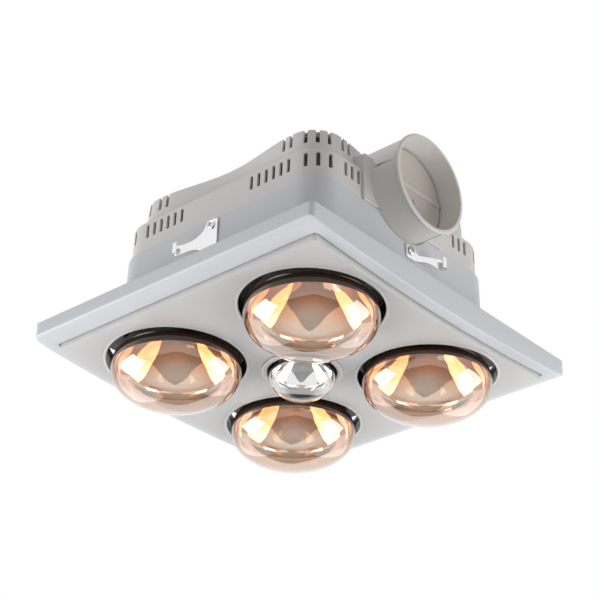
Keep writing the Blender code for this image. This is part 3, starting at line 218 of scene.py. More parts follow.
def bar(name: str, radius: float, start: Vector, end: Vector, steps: int = 48,
        end_radius: float | None = None) -> bpy.types.Object:
    """A round or tapered bar from one point to another.

    Args:
        name: name of the piece.
        radius: radius at the start.
        start: first end of the axis.
        end: second end of the axis.
        steps: facets round the axis.
        end_radius: radius at the end, the same as the start where it is left out.

    Returns:
        The new object.
    """
    start, end = Vector(start), Vector(end)
    along = end - start
    bm = bmesh.new()
    turn = Vector((0, 0, 1)).rotation_difference(along.normalized()).to_matrix().to_4x4()
    bmesh.ops.create_cone(bm, cap_ends=True, segments=steps, radius1=radius,
                          radius2=radius if end_radius is None else end_radius, depth=along.length,
                          matrix=Matrix.Translation((start + end) / 2) @ turn)
    return new_object(name, bm)


def gather(name: str, items: list[bpy.types.Object]) -> bpy.types.Object:
    """Collect several objects in one mesh.

    Args:
        name: name of the result.
        items: the objects, which are used up.

    Returns:
        The new object.
    """
    bm = bmesh.new()
    for item in items:
        settle(item)
        bm.from_mesh(item.data)
        bpy.data.objects.remove(item, do_unlink=True)
    return new_object(name, bm)


def wire(name: str, points: list[Vector], radius: float, steps: int = 4) -> bpy.types.Object:
    """A round wire through points, as a mesh.

    Args:
        name: name of the piece.
        points: points along the wire.
        radius: radius of the wire.
        steps: roundness of its section.

    Returns:
        The new object.
    """
    curve = bpy.data.curves.new(name, "CURVE")
    curve.dimensions = "3D"
    curve.bevel_depth = radius
    curve.bevel_resolution = steps
    curve.use_fill_caps = True
    spline = curve.splines.new("POLY")
    spline.points.add(len(points) - 1)
    for target, point in zip(spline.points, points):
        target.co = (*point, 1.0)
    made = bpy.data.objects.new(name, curve)
    bpy.context.scene.collection.objects.link(made)
    graph = bpy.context.evaluated_depsgraph_get()
    bpy.context.view_layer.update()
    mesh = bpy.data.meshes.new_from_object(made.evaluated_get(graph))
    bpy.data.objects.remove(made, do_unlink=True)
    solid = bpy.data.objects.new(name, mesh)
    bpy.context.scene.collection.objects.link(solid)
    mesh.shade_smooth()
    return solid


@dataclass(frozen=True)
class RoundedSquare:
    """Plan outline of a moulded box, with a waist on each side where it has one."""

    half_x: float
    half_y: float
    corner: float
    waist: float = 0.0
    waist_run: float = 0.088
    side_steps: int = 28
    corner_steps: int = 10

    def points(self) -> Outline:
        """The outline from the +X side's low end, counter-clockwise."""
        found: Outline = []
        for quarter in range(4):
            along_x = quarter % 2 == 0
            run = (self.half_y if along_x else self.half_x) - self.corner
            reach = self.half_x if along_x else self.half_y
            turn = Matrix.Rotation(quarter * math.pi / 2, 2)
            for i in range(self.side_steps + 1):
                along = run * (2 * i / self.side_steps - 1)
                near = min(abs(along) / self.waist_run, 1)
                draw = self.waist * (1 + math.cos(math.pi * near)) / 2
                found.append(tuple(turn @ Vector((reach - draw, along))))
            for i in range(1, self.corner_steps):
                angle = math.pi / 2 * i / self.corner_steps
                found.append(tuple(turn @ Vector((reach - self.corner + self.corner * math.cos(angle),
                                                  run + self.corner * math.sin(angle)))))
        return found

    def ring(self, height: float | Callable[[float], float]) -> Ring:
        """The outline at one height, or at a height that depends on Y."""
        if callable(height):
            return [Vector((x, y, height(y))) for x, y in self.points()]
        return [Vector((x, y, height)) for x, y in self.points()]


# Shared material effects

def socket_group(name: str, inputs: list[tuple[str, str, float]], outputs: list[tuple[str, str]]):
    """Start a node group with its sockets.

    Args:
        name: name of the group.
        inputs: name, kind and default of each input.
        outputs: name and kind of each output.

    Returns:
        The group, its input node and its output node.
    """
    group = bpy.data.node_groups.new(name, "ShaderNodeTree")
    for label, kind, default in inputs:
        socket = group.interface.new_socket(name=label, in_out="INPUT", socket_type=kind)
        if kind == "NodeSocketFloat":
            socket.default_value = default
    for label, kind in outputs:
        group.interface.new_socket(name=label, in_out="OUTPUT", socket_type=kind)
    return group, group.nodes.new("NodeGroupInput"), group.nodes.new("NodeGroupOutput")


def grain_group() -> bpy.types.NodeTree:
    """Colour drift, roughness drift and fine relief of a moulded, painted or plated face."""
    group, given, out = socket_group(
        "surface_grain",
        [("Tint", "NodeSocketColor", 0), ("Drift", "NodeSocketFloat", 0.04), ("Scale", "NodeSocketFloat", 60.0),
         ("Fine Scale", "NodeSocketFloat", 1500.0), ("Roughness", "NodeSocketFloat", 0.4),
         ("Roughness Drift", "NodeSocketFloat", 0.06)],
        [("Color", "NodeSocketColor"), ("Roughness", "NodeSocketFloat"), ("Height", "NodeSocketFloat")])
    nodes, links = group.nodes, group.links
    place = nodes.new("ShaderNodeTexCoord")
    broad = nodes.new("ShaderNodeTexNoise")
    broad.inputs["Detail"].default_value = 3.0
    fine = nodes.new("ShaderNodeTexNoise")
    fine.inputs["Detail"].default_value = 2.0
    links.new(place.outputs["Object"], broad.inputs["Vector"])
    links.new(place.outputs["Object"], fine.inputs["Vector"])
    links.new(given.outputs["Scale"], broad.inputs["Scale"])
    links.new(given.outputs["Fine Scale"], fine.inputs["Scale"])

    def around(value: bpy.types.NodeSocket, spread: bpy.types.NodeSocket, level: float | None):
        """Spread a 0 to 1 value about a level."""
        centre = nodes.new("ShaderNodeMath")
        centre.operation = "SUBTRACT"
        links.new(value, centre.inputs[0])
        centre.inputs[1].default_value = 0.5
        scaled = nodes.new("ShaderNodeMath")
        scaled.operation = "MULTIPLY_ADD"
        links.new(centre.outputs[0], scaled.inputs[0])
        links.new(spread, scaled.inputs[1])
        if level is not None:
            scaled.inputs[2].default_value = level
        return scaled

    shade = around(broad.outputs["Fac"], given.outputs["Drift"], 1.0)
    toned = nodes.new("ShaderNodeVectorMath")
    toned.operation = "SCALE"
    links.new(given.outputs["Tint"], toned.inputs[0])
    links.new(shade.outputs[0], toned.inputs["Scale"])
    links.new(toned.outputs[0], out.inputs["Color"])
    dull = around(broad.outputs["Fac"], given.outputs["Roughness Drift"], None)
    links.new(given.outputs["Roughness"], dull.inputs[2])
    links.new(dull.outputs[0], out.inputs["Roughness"])
    links.new(fine.outputs["Fac"], out.inputs["Height"])
    return group


def brushed_group() -> bpy.types.NodeTree:
    """Fine lines drawn along one axis of rolled or brushed metal."""
    group, given, out = socket_group(
        "drawn_lines",
        [("Tint", "NodeSocketColor", 0), ("Drift", "NodeSocketFloat", 0.08), ("Roughness", "NodeSocketFloat", 0.3),
         ("Roughness Drift", "NodeSocketFloat", 0.1)],
        [("Color", "NodeSocketColor"), ("Roughness", "NodeSocketFloat"), ("Height", "NodeSocketFloat")])
    nodes, links = group.nodes, group.links
    place = nodes.new("ShaderNodeTexCoord")
    stretch = nodes.new("ShaderNodeMapping")
    stretch.inputs["Scale"].default_value = (40.0, 40.0, 900.0)
    lines = nodes.new("ShaderNodeTexNoise")
    lines.inputs["Scale"].default_value = 1.0
    lines.inputs["Detail"].default_value = 3.0
    links.new(place.outputs["Object"], stretch.inputs["Vector"])
    links.new(stretch.outputs["Vector"], lines.inputs["Vector"])
    shade = nodes.new("ShaderNodeMapRange")
    links.new(lines.outputs["Fac"], shade.inputs["Value"])
    low = nodes.new("ShaderNodeMath")
    low.operation = "SUBTRACT"
    low.inputs[0].default_value = 1.0
    links.new(given.outputs["Drift"], low.inputs[1])
    links.new(low.outputs[0], shade.inputs["To Min"])
    toned = nodes.new("ShaderNodeVectorMath")
    toned.operation = "SCALE"
    links.new(given.outputs["Tint"], toned.inputs[0])
    links.new(shade.outputs["Result"], toned.inputs["Scale"])
    links.new(toned.outputs[0], out.inputs["Color"])
    dull = nodes.new("ShaderNodeMath")
    dull.operation = "MULTIPLY_ADD"
    links.new(lines.outputs["Fac"], dull.inputs[0])
    links.new(given.outputs["Roughness Drift"], dull.inputs[1])
    links.new(given.outputs["Roughness"], dull.inputs[2])
    links.new(dull.outputs[0], out.inputs["Roughness"])
    links.new(lines.outputs["Fac"], out.inputs["Height"])
    return group


def height_group() -> bpy.types.NodeTree:
    """Blend of two colours between two heights along a bulb: the glass's tint, and the mirror's copper towards the
    neck, which is partly its own tint and partly painted reflection.
    """
    group, given, out = socket_group(
        "height_blend",
        [("Low Color", "NodeSocketColor", 0), ("High Color", "NodeSocketColor", 0),
         ("Low", "NodeSocketFloat", 0.0), ("High", "NodeSocketFloat", 1.0)],
        [("Color", "NodeSocketColor")])
    nodes, links = group.nodes, group.links
    place = nodes.new("ShaderNodeTexCoord")
    split = nodes.new("ShaderNodeSeparateXYZ")
    links.new(place.outputs["Object"], split.inputs[0])
    share = nodes.new("ShaderNodeMapRange")
    share.interpolation_type = "SMOOTHSTEP"
    links.new(split.outputs["Z"], share.inputs["Value"])
    links.new(given.outputs["Low"], share.inputs["From Min"])
    links.new(given.outputs["High"], share.inputs["From Max"])
    blend = nodes.new("ShaderNodeMix")
    blend.data_type = "RGBA"
    links.new(share.outputs["Result"], blend.inputs["Factor"])
    links.new(given.outputs["Low Color"], blend.inputs[6])
    links.new(given.outputs["High Color"], blend.inputs[7])
    links.new(blend.outputs[2], out.inputs["Color"])
    return group


class Grain(Enum):
    """Kind of fine surface that a finish has."""

    MOULDED = "moulded"
    DRAWN = "drawn"


@dataclass(frozen=True)
class Finish:
    """One finish of the heater, from which its material is made."""

    name: str
    colour: tuple[float, float, float]
    roughness: float
    slot: str
    metallic: float = 0.0
    transmission: float = 0.0
    coat: float = 0.0
    specular: float = 0.5
    ior: float = 1.5
    grain: Grain = Grain.MOULDED
    drift: float = 0.04
    scale: float = 30.0
    fine_scale: float = 1500.0
    relief: float = 0.00002
    roughness_drift: float = 0.06
    high_colour: tuple[float, float, float] | None = None
    heights: tuple[float, float] = (0.0, 1.0)

    def material(self) -> bpy.types.Material:
        """The finish's material, made once and named apart from the CAD's own."""
        label = "finish_" + self.name
        known = bpy.data.materials.get(label)
        if known:
            return known
        made = bpy.data.materials.new(label)
        made.use_nodes = True
        nodes, links = made.node_tree.nodes, made.node_tree.links
        shader = nodes["Principled BSDF"]
        shader.inputs["Metallic"].default_value = self.metallic
        shader.inputs["Transmission Weight"].default_value = self.transmission
        shader.inputs["Coat Weight"].default_value = self.coat
        shader.inputs["Coat Roughness"].default_value = 0.08
        shader.inputs["Specular IOR Level"].default_value = self.specular
        shader.inputs["IOR"].default_value = self.ior
        effect = nodes.new("ShaderNodeGroup")
        if self.grain is Grain.DRAWN:
            effect.node_tree = bpy.data.node_groups.get("drawn_lines") or brushed_group()
        else:
            effect.node_tree = bpy.data.node_groups.get("surface_grain") or grain_group()
            effect.inputs["Scale"].default_value = self.scale
            effect.inputs["Fine Scale"].default_value = self.fine_scale
        effect.inputs["Tint"].default_value = (*self.colour, 1.0)
        if self.high_colour:
            coating = nodes.new("ShaderNodeGroup")
            coating.node_tree = bpy.data.node_groups.get("height_blend") or height_group()
            coating.inputs["Low Color"].default_value = (*self.colour, 1.0)
            coating.inputs["High Color"].default_value = (*self.high_colour, 1.0)
            coating.inputs["Low"].default_value, coating.inputs["High"].default_value = self.heights
            links.new(coating.outputs["Color"], effect.inputs["Tint"])
        effect.inputs["Drift"].default_value = self.drift
        effect.inputs["Roughness"].default_value = self.roughness
        effect.inputs["Roughness Drift"].default_value = self.roughness_drift
        links.new(effect.outputs["Color"], shader.inputs["Base Color"])
        links.new(effect.outputs["Roughness"], shader.inputs["Roughness"])
        if self.relief:
            bump = nodes.new("ShaderNodeBump")
            bump.inputs["Strength"].default_value = 0.6
            bump.inputs["Distance"].default_value = self.relief
            links.new(effect.outputs["Height"], bump.inputs["Height"])
            links.new(bump.outputs["Normal"], shader.inputs["Normal"])
        return made


ENAMEL = Finish("pearl_silver_enamel", (0.68, 0.70, 0.73), 0.44, "silver_enamel", metallic=0.04, coat=0.04)
SATIN = Finish("satin_grey_plate", (0.70, 0.69, 0.69), 0.38, "satin_plate", metallic=0.25)
EDGE = Finish("polished_ring_edge", (0.72, 0.71, 0.70), 0.30, "satin_plate", metallic=0.25)
BLACK = Finish("black_ring_enamel", (0.024, 0.018, 0.013), 0.26, "black_enamel", coat=0.3)
AMBER = Finish("amber_glass", (0.96, 0.87, 0.79), 0.01, "amber_glass", transmission=1.0, ior=2.0, drift=0.02,
               relief=0.0, roughness_drift=0.01, high_colour=(0.83, 0.57, 0.41), heights=(-0.068, -0.046))
# Painted shade: the bowl's near-black brown stands for the shade of the recess round each lamp, not a coating on the
# glass.
SHADED_BOWL = Finish("painted_shade_bowl", (0.060, 0.034, 0.020), 0.12, "amber_glass", coat=0.3, relief=0.0)
CLEAR = Finish("clear_glass", (0.98, 0.98, 0.98), 0.01, "clear_glass", transmission=1.0, ior=1.5, drift=0.01,
               relief=0.0, roughness_drift=0.01)
# Painted reflection, in part: the copper towards the neck is partly the aluminised coating's own tint and partly stands
# for the orange band the bowl reflects.
MIRROR = Finish("aluminised_bowl", (0.90, 0.87, 0.85), 0.05, "amber_glass", metallic=1.0, drift=0.05,
                relief=0.000003, fine_scale=300.0, roughness_drift=0.03, high_colour=(0.95, 0.64, 0.40),
                heights=(-0.026, -0.008))
LIGHT_MIRROR = Finish("silvered_reflector", (0.92, 0.92, 0.92), 0.05, "clear_glass", metallic=1.0, drift=0.05,
                      relief=0.000003, fine_scale=300.0, roughness_drift=0.03)
BRASS = Finish("nickel_cap", (0.80, 0.76, 0.66), 0.28, "nickel_brass", metallic=1.0, grain=Grain.DRAWN)
CERAMIC = Finish("glazed_ceramic", (0.84, 0.83, 0.80), 0.3, "white_ceramic", coat=0.4)
STEEL = Finish("zinc_steel", (0.62, 0.62, 0.63), 0.32, "zinc_steel", metallic=1.0, grain=Grain.DRAWN)
ZINC = Finish("galvanised_sheet", (0.58, 0.60, 0.62), 0.42, "galvanised_sheet", metallic=0.9, drift=0.25,
              scale=140.0)
ALUMINIUM = Finish("aluminium_sheet", (0.78, 0.78, 0.78), 0.28, "aluminium_sheet", metallic=1.0, grain=Grain.DRAWN)
SHELL = Finish("cool_grey_plastic", (0.72, 0.73, 0.77), 0.42, "cool_grey_plastic")
CREAM = Finish("warm_white_plastic", (0.78, 0.76, 0.74), 0.45, "warm_white_plastic")
DUCT = Finish("duct_grey_plastic", (0.78, 0.76, 0.72), 0.48, "duct_grey_plastic")
FLAP = Finish("flap_plastic", (0.62, 0.56, 0.51), 0.5, "flap_plastic")
CHROME = Finish("bright_spring_steel", (0.86, 0.86, 0.85), 0.14, "bright_spring_steel", metallic=1.0,
                grain=Grain.DRAWN, roughness_drift=0.05)
RUBBER = Finish("black_plastic", (0.03, 0.03, 0.03), 0.45, "black_plastic")
TUNGSTEN = Finish("tungsten_wire", (0.35, 0.33, 0.32), 0.35, "white_ceramic", metallic=1.0)


def dress(obj: bpy.types.Object, finish: Finish, body: str, *nodes: str) -> bpy.types.Object:
    """Give a piece its finish and its body, and let it stand for CAD nodes.

    Args:
        obj: the piece.
        finish: its finish.
        body: the CAD body that it rides on.
        nodes: CAD nodes that it stands for.

    Returns:
        The piece.
    """
    obj.data.materials.clear()
    obj.data.materials.append(finish.material())
    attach(obj, body)
    if nodes:
        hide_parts(*nodes)
    LOG.info("%s on %s", obj.name, body)
    return obj


# Fascia

@dataclass
class Fascia:
    """Arched frame with its plate, lamp collars and trim ring."""

    half_x: float = 0.174
    half_y: float = 0.189
    rim: float = 0.0134
    shoulder: float = 0.0035
    shoulder_run: float = 0.0056
    arch_drop: float = 0.0081
    corner: float = 0.0055
    wall: float = 0.0022
    border_x: float = 0.0127
    border_y: float = 0.0196
    window_corner: float = 0.004
    edge: float = 0.0011
    window_edge: float = 0.0008
    seat: float = 0.0003
    step: float = 0.0052
    plate_wall: float = 0.0016
    draft: float = 0.0018
    flange: float = 0.0060
    flange_wall: float = 0.0015
    lamp_at: float = 0.085
    hole: float = 0.067
    bezel: float = 0.0033
    bezel_proud: float = 0.0004
    centre_hole: float = 0.0380
    trim_inner: float = 0.0337
    trim_flange: float = 0.0012
    trim_depth: float = 0.0060
    collar_wall: float = 0.0016
    collar_flange: float = 0.0052
    collar_top: float = -0.008
    collar_lip: float = 0.0008
    collar_setback: float = 0.0004
    stud_at: float = 0.141
    stud: float = 0.0045
    body: str = "fascia"
    lamps: tuple[tuple[int, int], ...] = field(default=((1, -1), (1, 1), (-1, 1), (-1, -1)))

    def depth(self, y: float) -> float:
        """Depth of the frame's underside below the ceiling plane at one Y."""
        inset = max(self.half_y - abs(y), 0.0)
        bend = self.shoulder * (1 - math.exp(-inset / self.shoulder_run))
        return self.rim + bend + self.arch_drop * (1 - (y / self.half_y) ** 2)

    def outline(self, inset: float, corner: float) -> RoundedSquare:
        """The frame's outline drawn in by an inset."""
        return RoundedSquare(self.half_x - inset, self.half_y - inset, corner, side_steps=48, corner_steps=8)

    def window(self, grow: float = 0.0) -> RoundedSquare:
        """The frame's window, grown outwards."""
        return RoundedSquare(self.half_x - self.border_x + grow, self.half_y - self.border_y + grow,
                             self.window_corner, side_steps=48, corner_steps=8)

    def build_frame(self) -> bpy.types.Object:
        """The outer frame: rim, rounded edge, arched border and window edge."""
        def under(offset: float) -> Callable[[float], float]:
            return lambda y: -self.depth(y) + offset

        rings = [self.outline(0, self.corner).ring(0.0)]
        for i in range(1, 5):
            angle = math.pi / 2 * (i - 1) / 3
            inset = self.edge * (1 - math.cos(angle))
            rings.append(self.outline(inset, self.corner - inset).ring(under(self.edge * (1 - math.sin(angle)))))
        outer = self.outline(self.edge, self.corner - self.edge).points()
        inner = self.window(self.window_edge).points()
        for i in range(1, 13):
            share = (i / 12) ** 1.4
            ring = []
            for (ax, ay), (bx, by) in zip(outer, inner):
                x, y = ax + (bx - ax) * share, ay + (by - ay) * share
                ring.append(Vector((x, y, -self.depth(y))))
            rings.append(ring)
        for i in range(1, 4):
            angle = math.pi / 2 * i / 3
            grow = self.window_edge * (1 - math.sin(angle))
            rings.append(self.window(grow).ring(under(self.window_edge * (1 - math.cos(angle)))))
        rings.append(self.window().ring(under(self.wall)))
        for i in range(1, 9):
            share = (i / 8) ** 0.7
            back = self.outline(self.wall, self.corner - self.wall).points()
            ring = []
            for (ax, ay), (bx, by) in zip(self.window().points(), back):
                x, y = ax + (bx - ax) * share, ay + (by - ay) * share
                ring.append(Vector((x, y, -self.depth(y) + self.wall)))
            rings.append(ring)
        rings.append(self.outline(self.wall, self.corner - self.wall).ring(0.0))
        return dress(loft("frame_moulding", rings), ENAMEL, self.body, "fascia_frame")

    def slab(self, name: str, half_x: float, half_y: float, low: float, high: float | None,
             top: float | None = None) -> bpy.types.Object:
        """A block between two copies of the arch, or between the arch and a level top."""
        stations = [half_y * math.sin(math.pi / 2 * (i / 40 * 2 - 1)) for i in range(41)]
        bm = bmesh.new()
        columns = []
        for y in stations:
            bottom = low - self.depth(y)
            upper = top if top is not None else high - self.depth(y)
            columns.append([bm.verts.new((-half_x, y, bottom)), bm.verts.new((half_x, y, bottom)),
                            bm.verts.new((half_x, y, upper)), bm.verts.new((-half_x, y, upper))])
        for first, second in zip(columns, columns[1:]):
            for i in range(4):
                j = (i + 1) % 4
                bm.faces.new((first[i], first[j], second[j], second[i]))
        bm.faces.new(columns[0])
        bm.faces.new(list(reversed(columns[-1])))
        return new_object(name, bm)

    def prism(self, name: str, half_x: float, half_y: float, low_inset: float) -> bpy.types.Object:
        """An upright rounded block that narrows towards its lower end."""
        low = -self.depth(0) - self.step - 0.004
        under = RoundedSquare(half_x - low_inset, half_y - low_inset, self.window_corner, side_steps=1,
                              corner_steps=8)
        over = RoundedSquare(half_x, half_y, self.window_corner, side_steps=1, corner_steps=8)
        return loft(name, [under.ring(low), over.ring(0.004)], around=False, capped=True)

    def build_plate(self) -> bpy.types.Object:
        """The pressed plate with its tapered wall, five holes and four studs."""
        edge_x = self.half_x - self.border_x - self.seat
        edge_y = self.half_y - self.border_y - self.seat
        low = self.wall + self.seat
        high = low + self.flange_wall
        body = self.slab("plate_pressing", edge_x + 0.004, edge_y + self.flange, -self.step, high)
        combine(body, self.prism("outline", edge_x, edge_y, self.draft), "INTERSECT")
        holes = []
        for sx, sy in self.lamps:
            centre = Vector((sx * self.lamp_at, sy * self.lamp_at, 0))
            holes.append(bar("hole", self.hole + self.bezel + self.seat, centre + Vector((0, 0, -0.04)),
                             centre + Vector((0, 0, 0.004)), 96))
        holes.append(bar("hole", self.centre_hole, Vector((0, 0, -0.04)), Vector((0, 0, 0.004)), 64))
        combine(body, gather("holes", holes), "DIFFERENCE")
        soften(body, 0.0009, 3)
        hollow = self.slab("hollow", edge_x, edge_y, self.plate_wall - self.step, None, 0.004)
        wall = self.plate_wall + self.draft
        combine(hollow, self.prism("hollow_outline", edge_x - wall, edge_y - wall, 0), "INTERSECT")
        combine(body, hollow, "DIFFERENCE")
        flange = self.slab("flange", edge_x + self.flange, edge_y + self.flange, low, high)
        combine(flange, self.prism("flange_outline", edge_x + self.flange, edge_y + self.flange, 0), "INTERSECT")
        combine(flange, self.prism("flange_window", edge_x - wall, edge_y - wall, 0), "DIFFERENCE")
        combine(body, flange, "UNION")
        posts = []
        for sx, sy in self.lamps:
            x, y = sx * self.stud_at, sy * self.stud_at
            foot = -self.depth(y) - self.step + self.plate_wall
            posts.append(lathe("post", [(0, -0.0018), (self.stud - 0.0006, -0.0018), (self.stud, -0.0024),
                                        (self.stud, foot), (0, foot)], (x, y), 24, around=False))
            posts.append(lathe("peg", [(0, -self.seat), (0.0020, -self.seat), (0.0026, -0.0009),
                                       (0.0026, -0.0020), (0, -0.0020)], (x, y), 24, around=False))
        plate = gather("plate_pressing", [body] + posts)
        even_normals(plate)
        return dress(plate, SATIN, self.body, "fascia_plate")

    def arched_ring(self, centre: tuple[float, float], radius: float, offset: float, steps: int = 96) -> Ring:
        """A circle at an offset above the frame's arch, or below it where the offset is negative."""
        found = []
        for i in range(steps):
            angle = 2 * math.pi * i / steps
            x, y = centre[0] + radius * math.cos(angle), centre[1] + radius * math.sin(angle)
            found.append(Vector((x, y, offset - self.depth(y))))
        return found

    def build_bezel(self, number: int, sx: int, sy: int) -> bpy.types.Object:
        """Bright rounded edge set in the plate round a lamp hole, curved with the plate."""
        centre = (sx * self.lamp_at, sy * self.lamp_at)
        inner, outer = self.hole, self.hole + self.bezel + self.seat / 2
        face, back = -self.step, self.plate_wall - self.step
        proud = face - self.bezel_proud
        section = [(outer, face), (outer - 0.0006, face - 0.00005), (inner + 0.0014, proud),
                   (inner + 0.0007, proud + 0.00005), (inner + 0.0002, proud + 0.0003), (inner, proud + 0.0009),
                   (inner, back), (outer, back)]
        rings = [self.arched_ring(centre, radius, offset) for radius, offset in section]
        return dress(loft("bezel_%d" % number, rings), EDGE, self.body, "lamp_bezel_%d" % number)

    def build_collar(self, number: int, sx: int, sy: int) -> bpy.types.Object:
        """Black ring behind a lamp hole, with its foot shaped to the arched plate."""
        cx, cy = sx * self.lamp_at, sy * self.lamp_at
        inner = self.hole + self.collar_setback
        outer = inner + self.collar_wall
        flange = self.hole + self.collar_flange - self.seat
        lip = inner - self.collar_lip
        top = self.collar_top
        rise = self.collar_wall

        def ring(radius: float, height: float | None, lift: float = 0.0) -> Ring:
            found = []
            for i in range(96):
                angle = 2 * math.pi * i / 96
                x, y = cx + radius * math.cos(angle), cy + radius * math.sin(angle)
                foot = -self.depth(y) - self.step + self.plate_wall + self.seat
                found.append(Vector((x, y, foot + lift if height is None else height)))
            return found

        rings = [ring(lip, top - rise / 2), ring(lip + rise / 3, top), ring(outer - rise, top), ring(outer, top - rise),
                 ring(outer, None, rise * 1.4), ring(outer + rise * 0.4, None, rise), ring(flange, None, rise),
                 ring(flange, None), ring(inner, None), ring(inner, top - rise * 2), ring(inner - rise, top - rise),
                 ring(lip + rise / 3, top - rise)]
        return dress(loft("ring_enamel_%d" % number, rings), BLACK, self.body, "lamp_collar_%d" % number)

    def build_trim(self) -> bpy.types.Object:
        """Pale trim ring round the centre light."""
        barrel = self.centre_hole - self.seat
        inner = self.trim_inner
        face = -self.depth(0) - self.step - self.seat
        flange = self.centre_hole + self.trim_flange
        top = face + self.trim_depth
        profile = [(barrel, top), (barrel, face), (flange, face), (flange, face - 0.0006),
                   (flange - 0.0004, face - 0.0012), (flange - 0.0011, face - 0.0016),
                   (inner + 0.0010, face - 0.0016), (inner + 0.0002, face - 0.0011), (inner, face),
                   (inner + 0.0004, face + 0.0016), (inner + 0.0004, top)]
        return dress(lathe("trim_ring", profile), SATIN, self.body, "centre_trim_ring")

    def build(self) -> None:
        """Build the whole fascia."""
        self.build_frame()
        self.build_plate()
        for number, (sx, sy) in enumerate(self.lamps, 1):
            self.build_bezel(number, sx, sy)
            self.build_collar(number, sx, sy)
        self.build_trim()


# Lamps

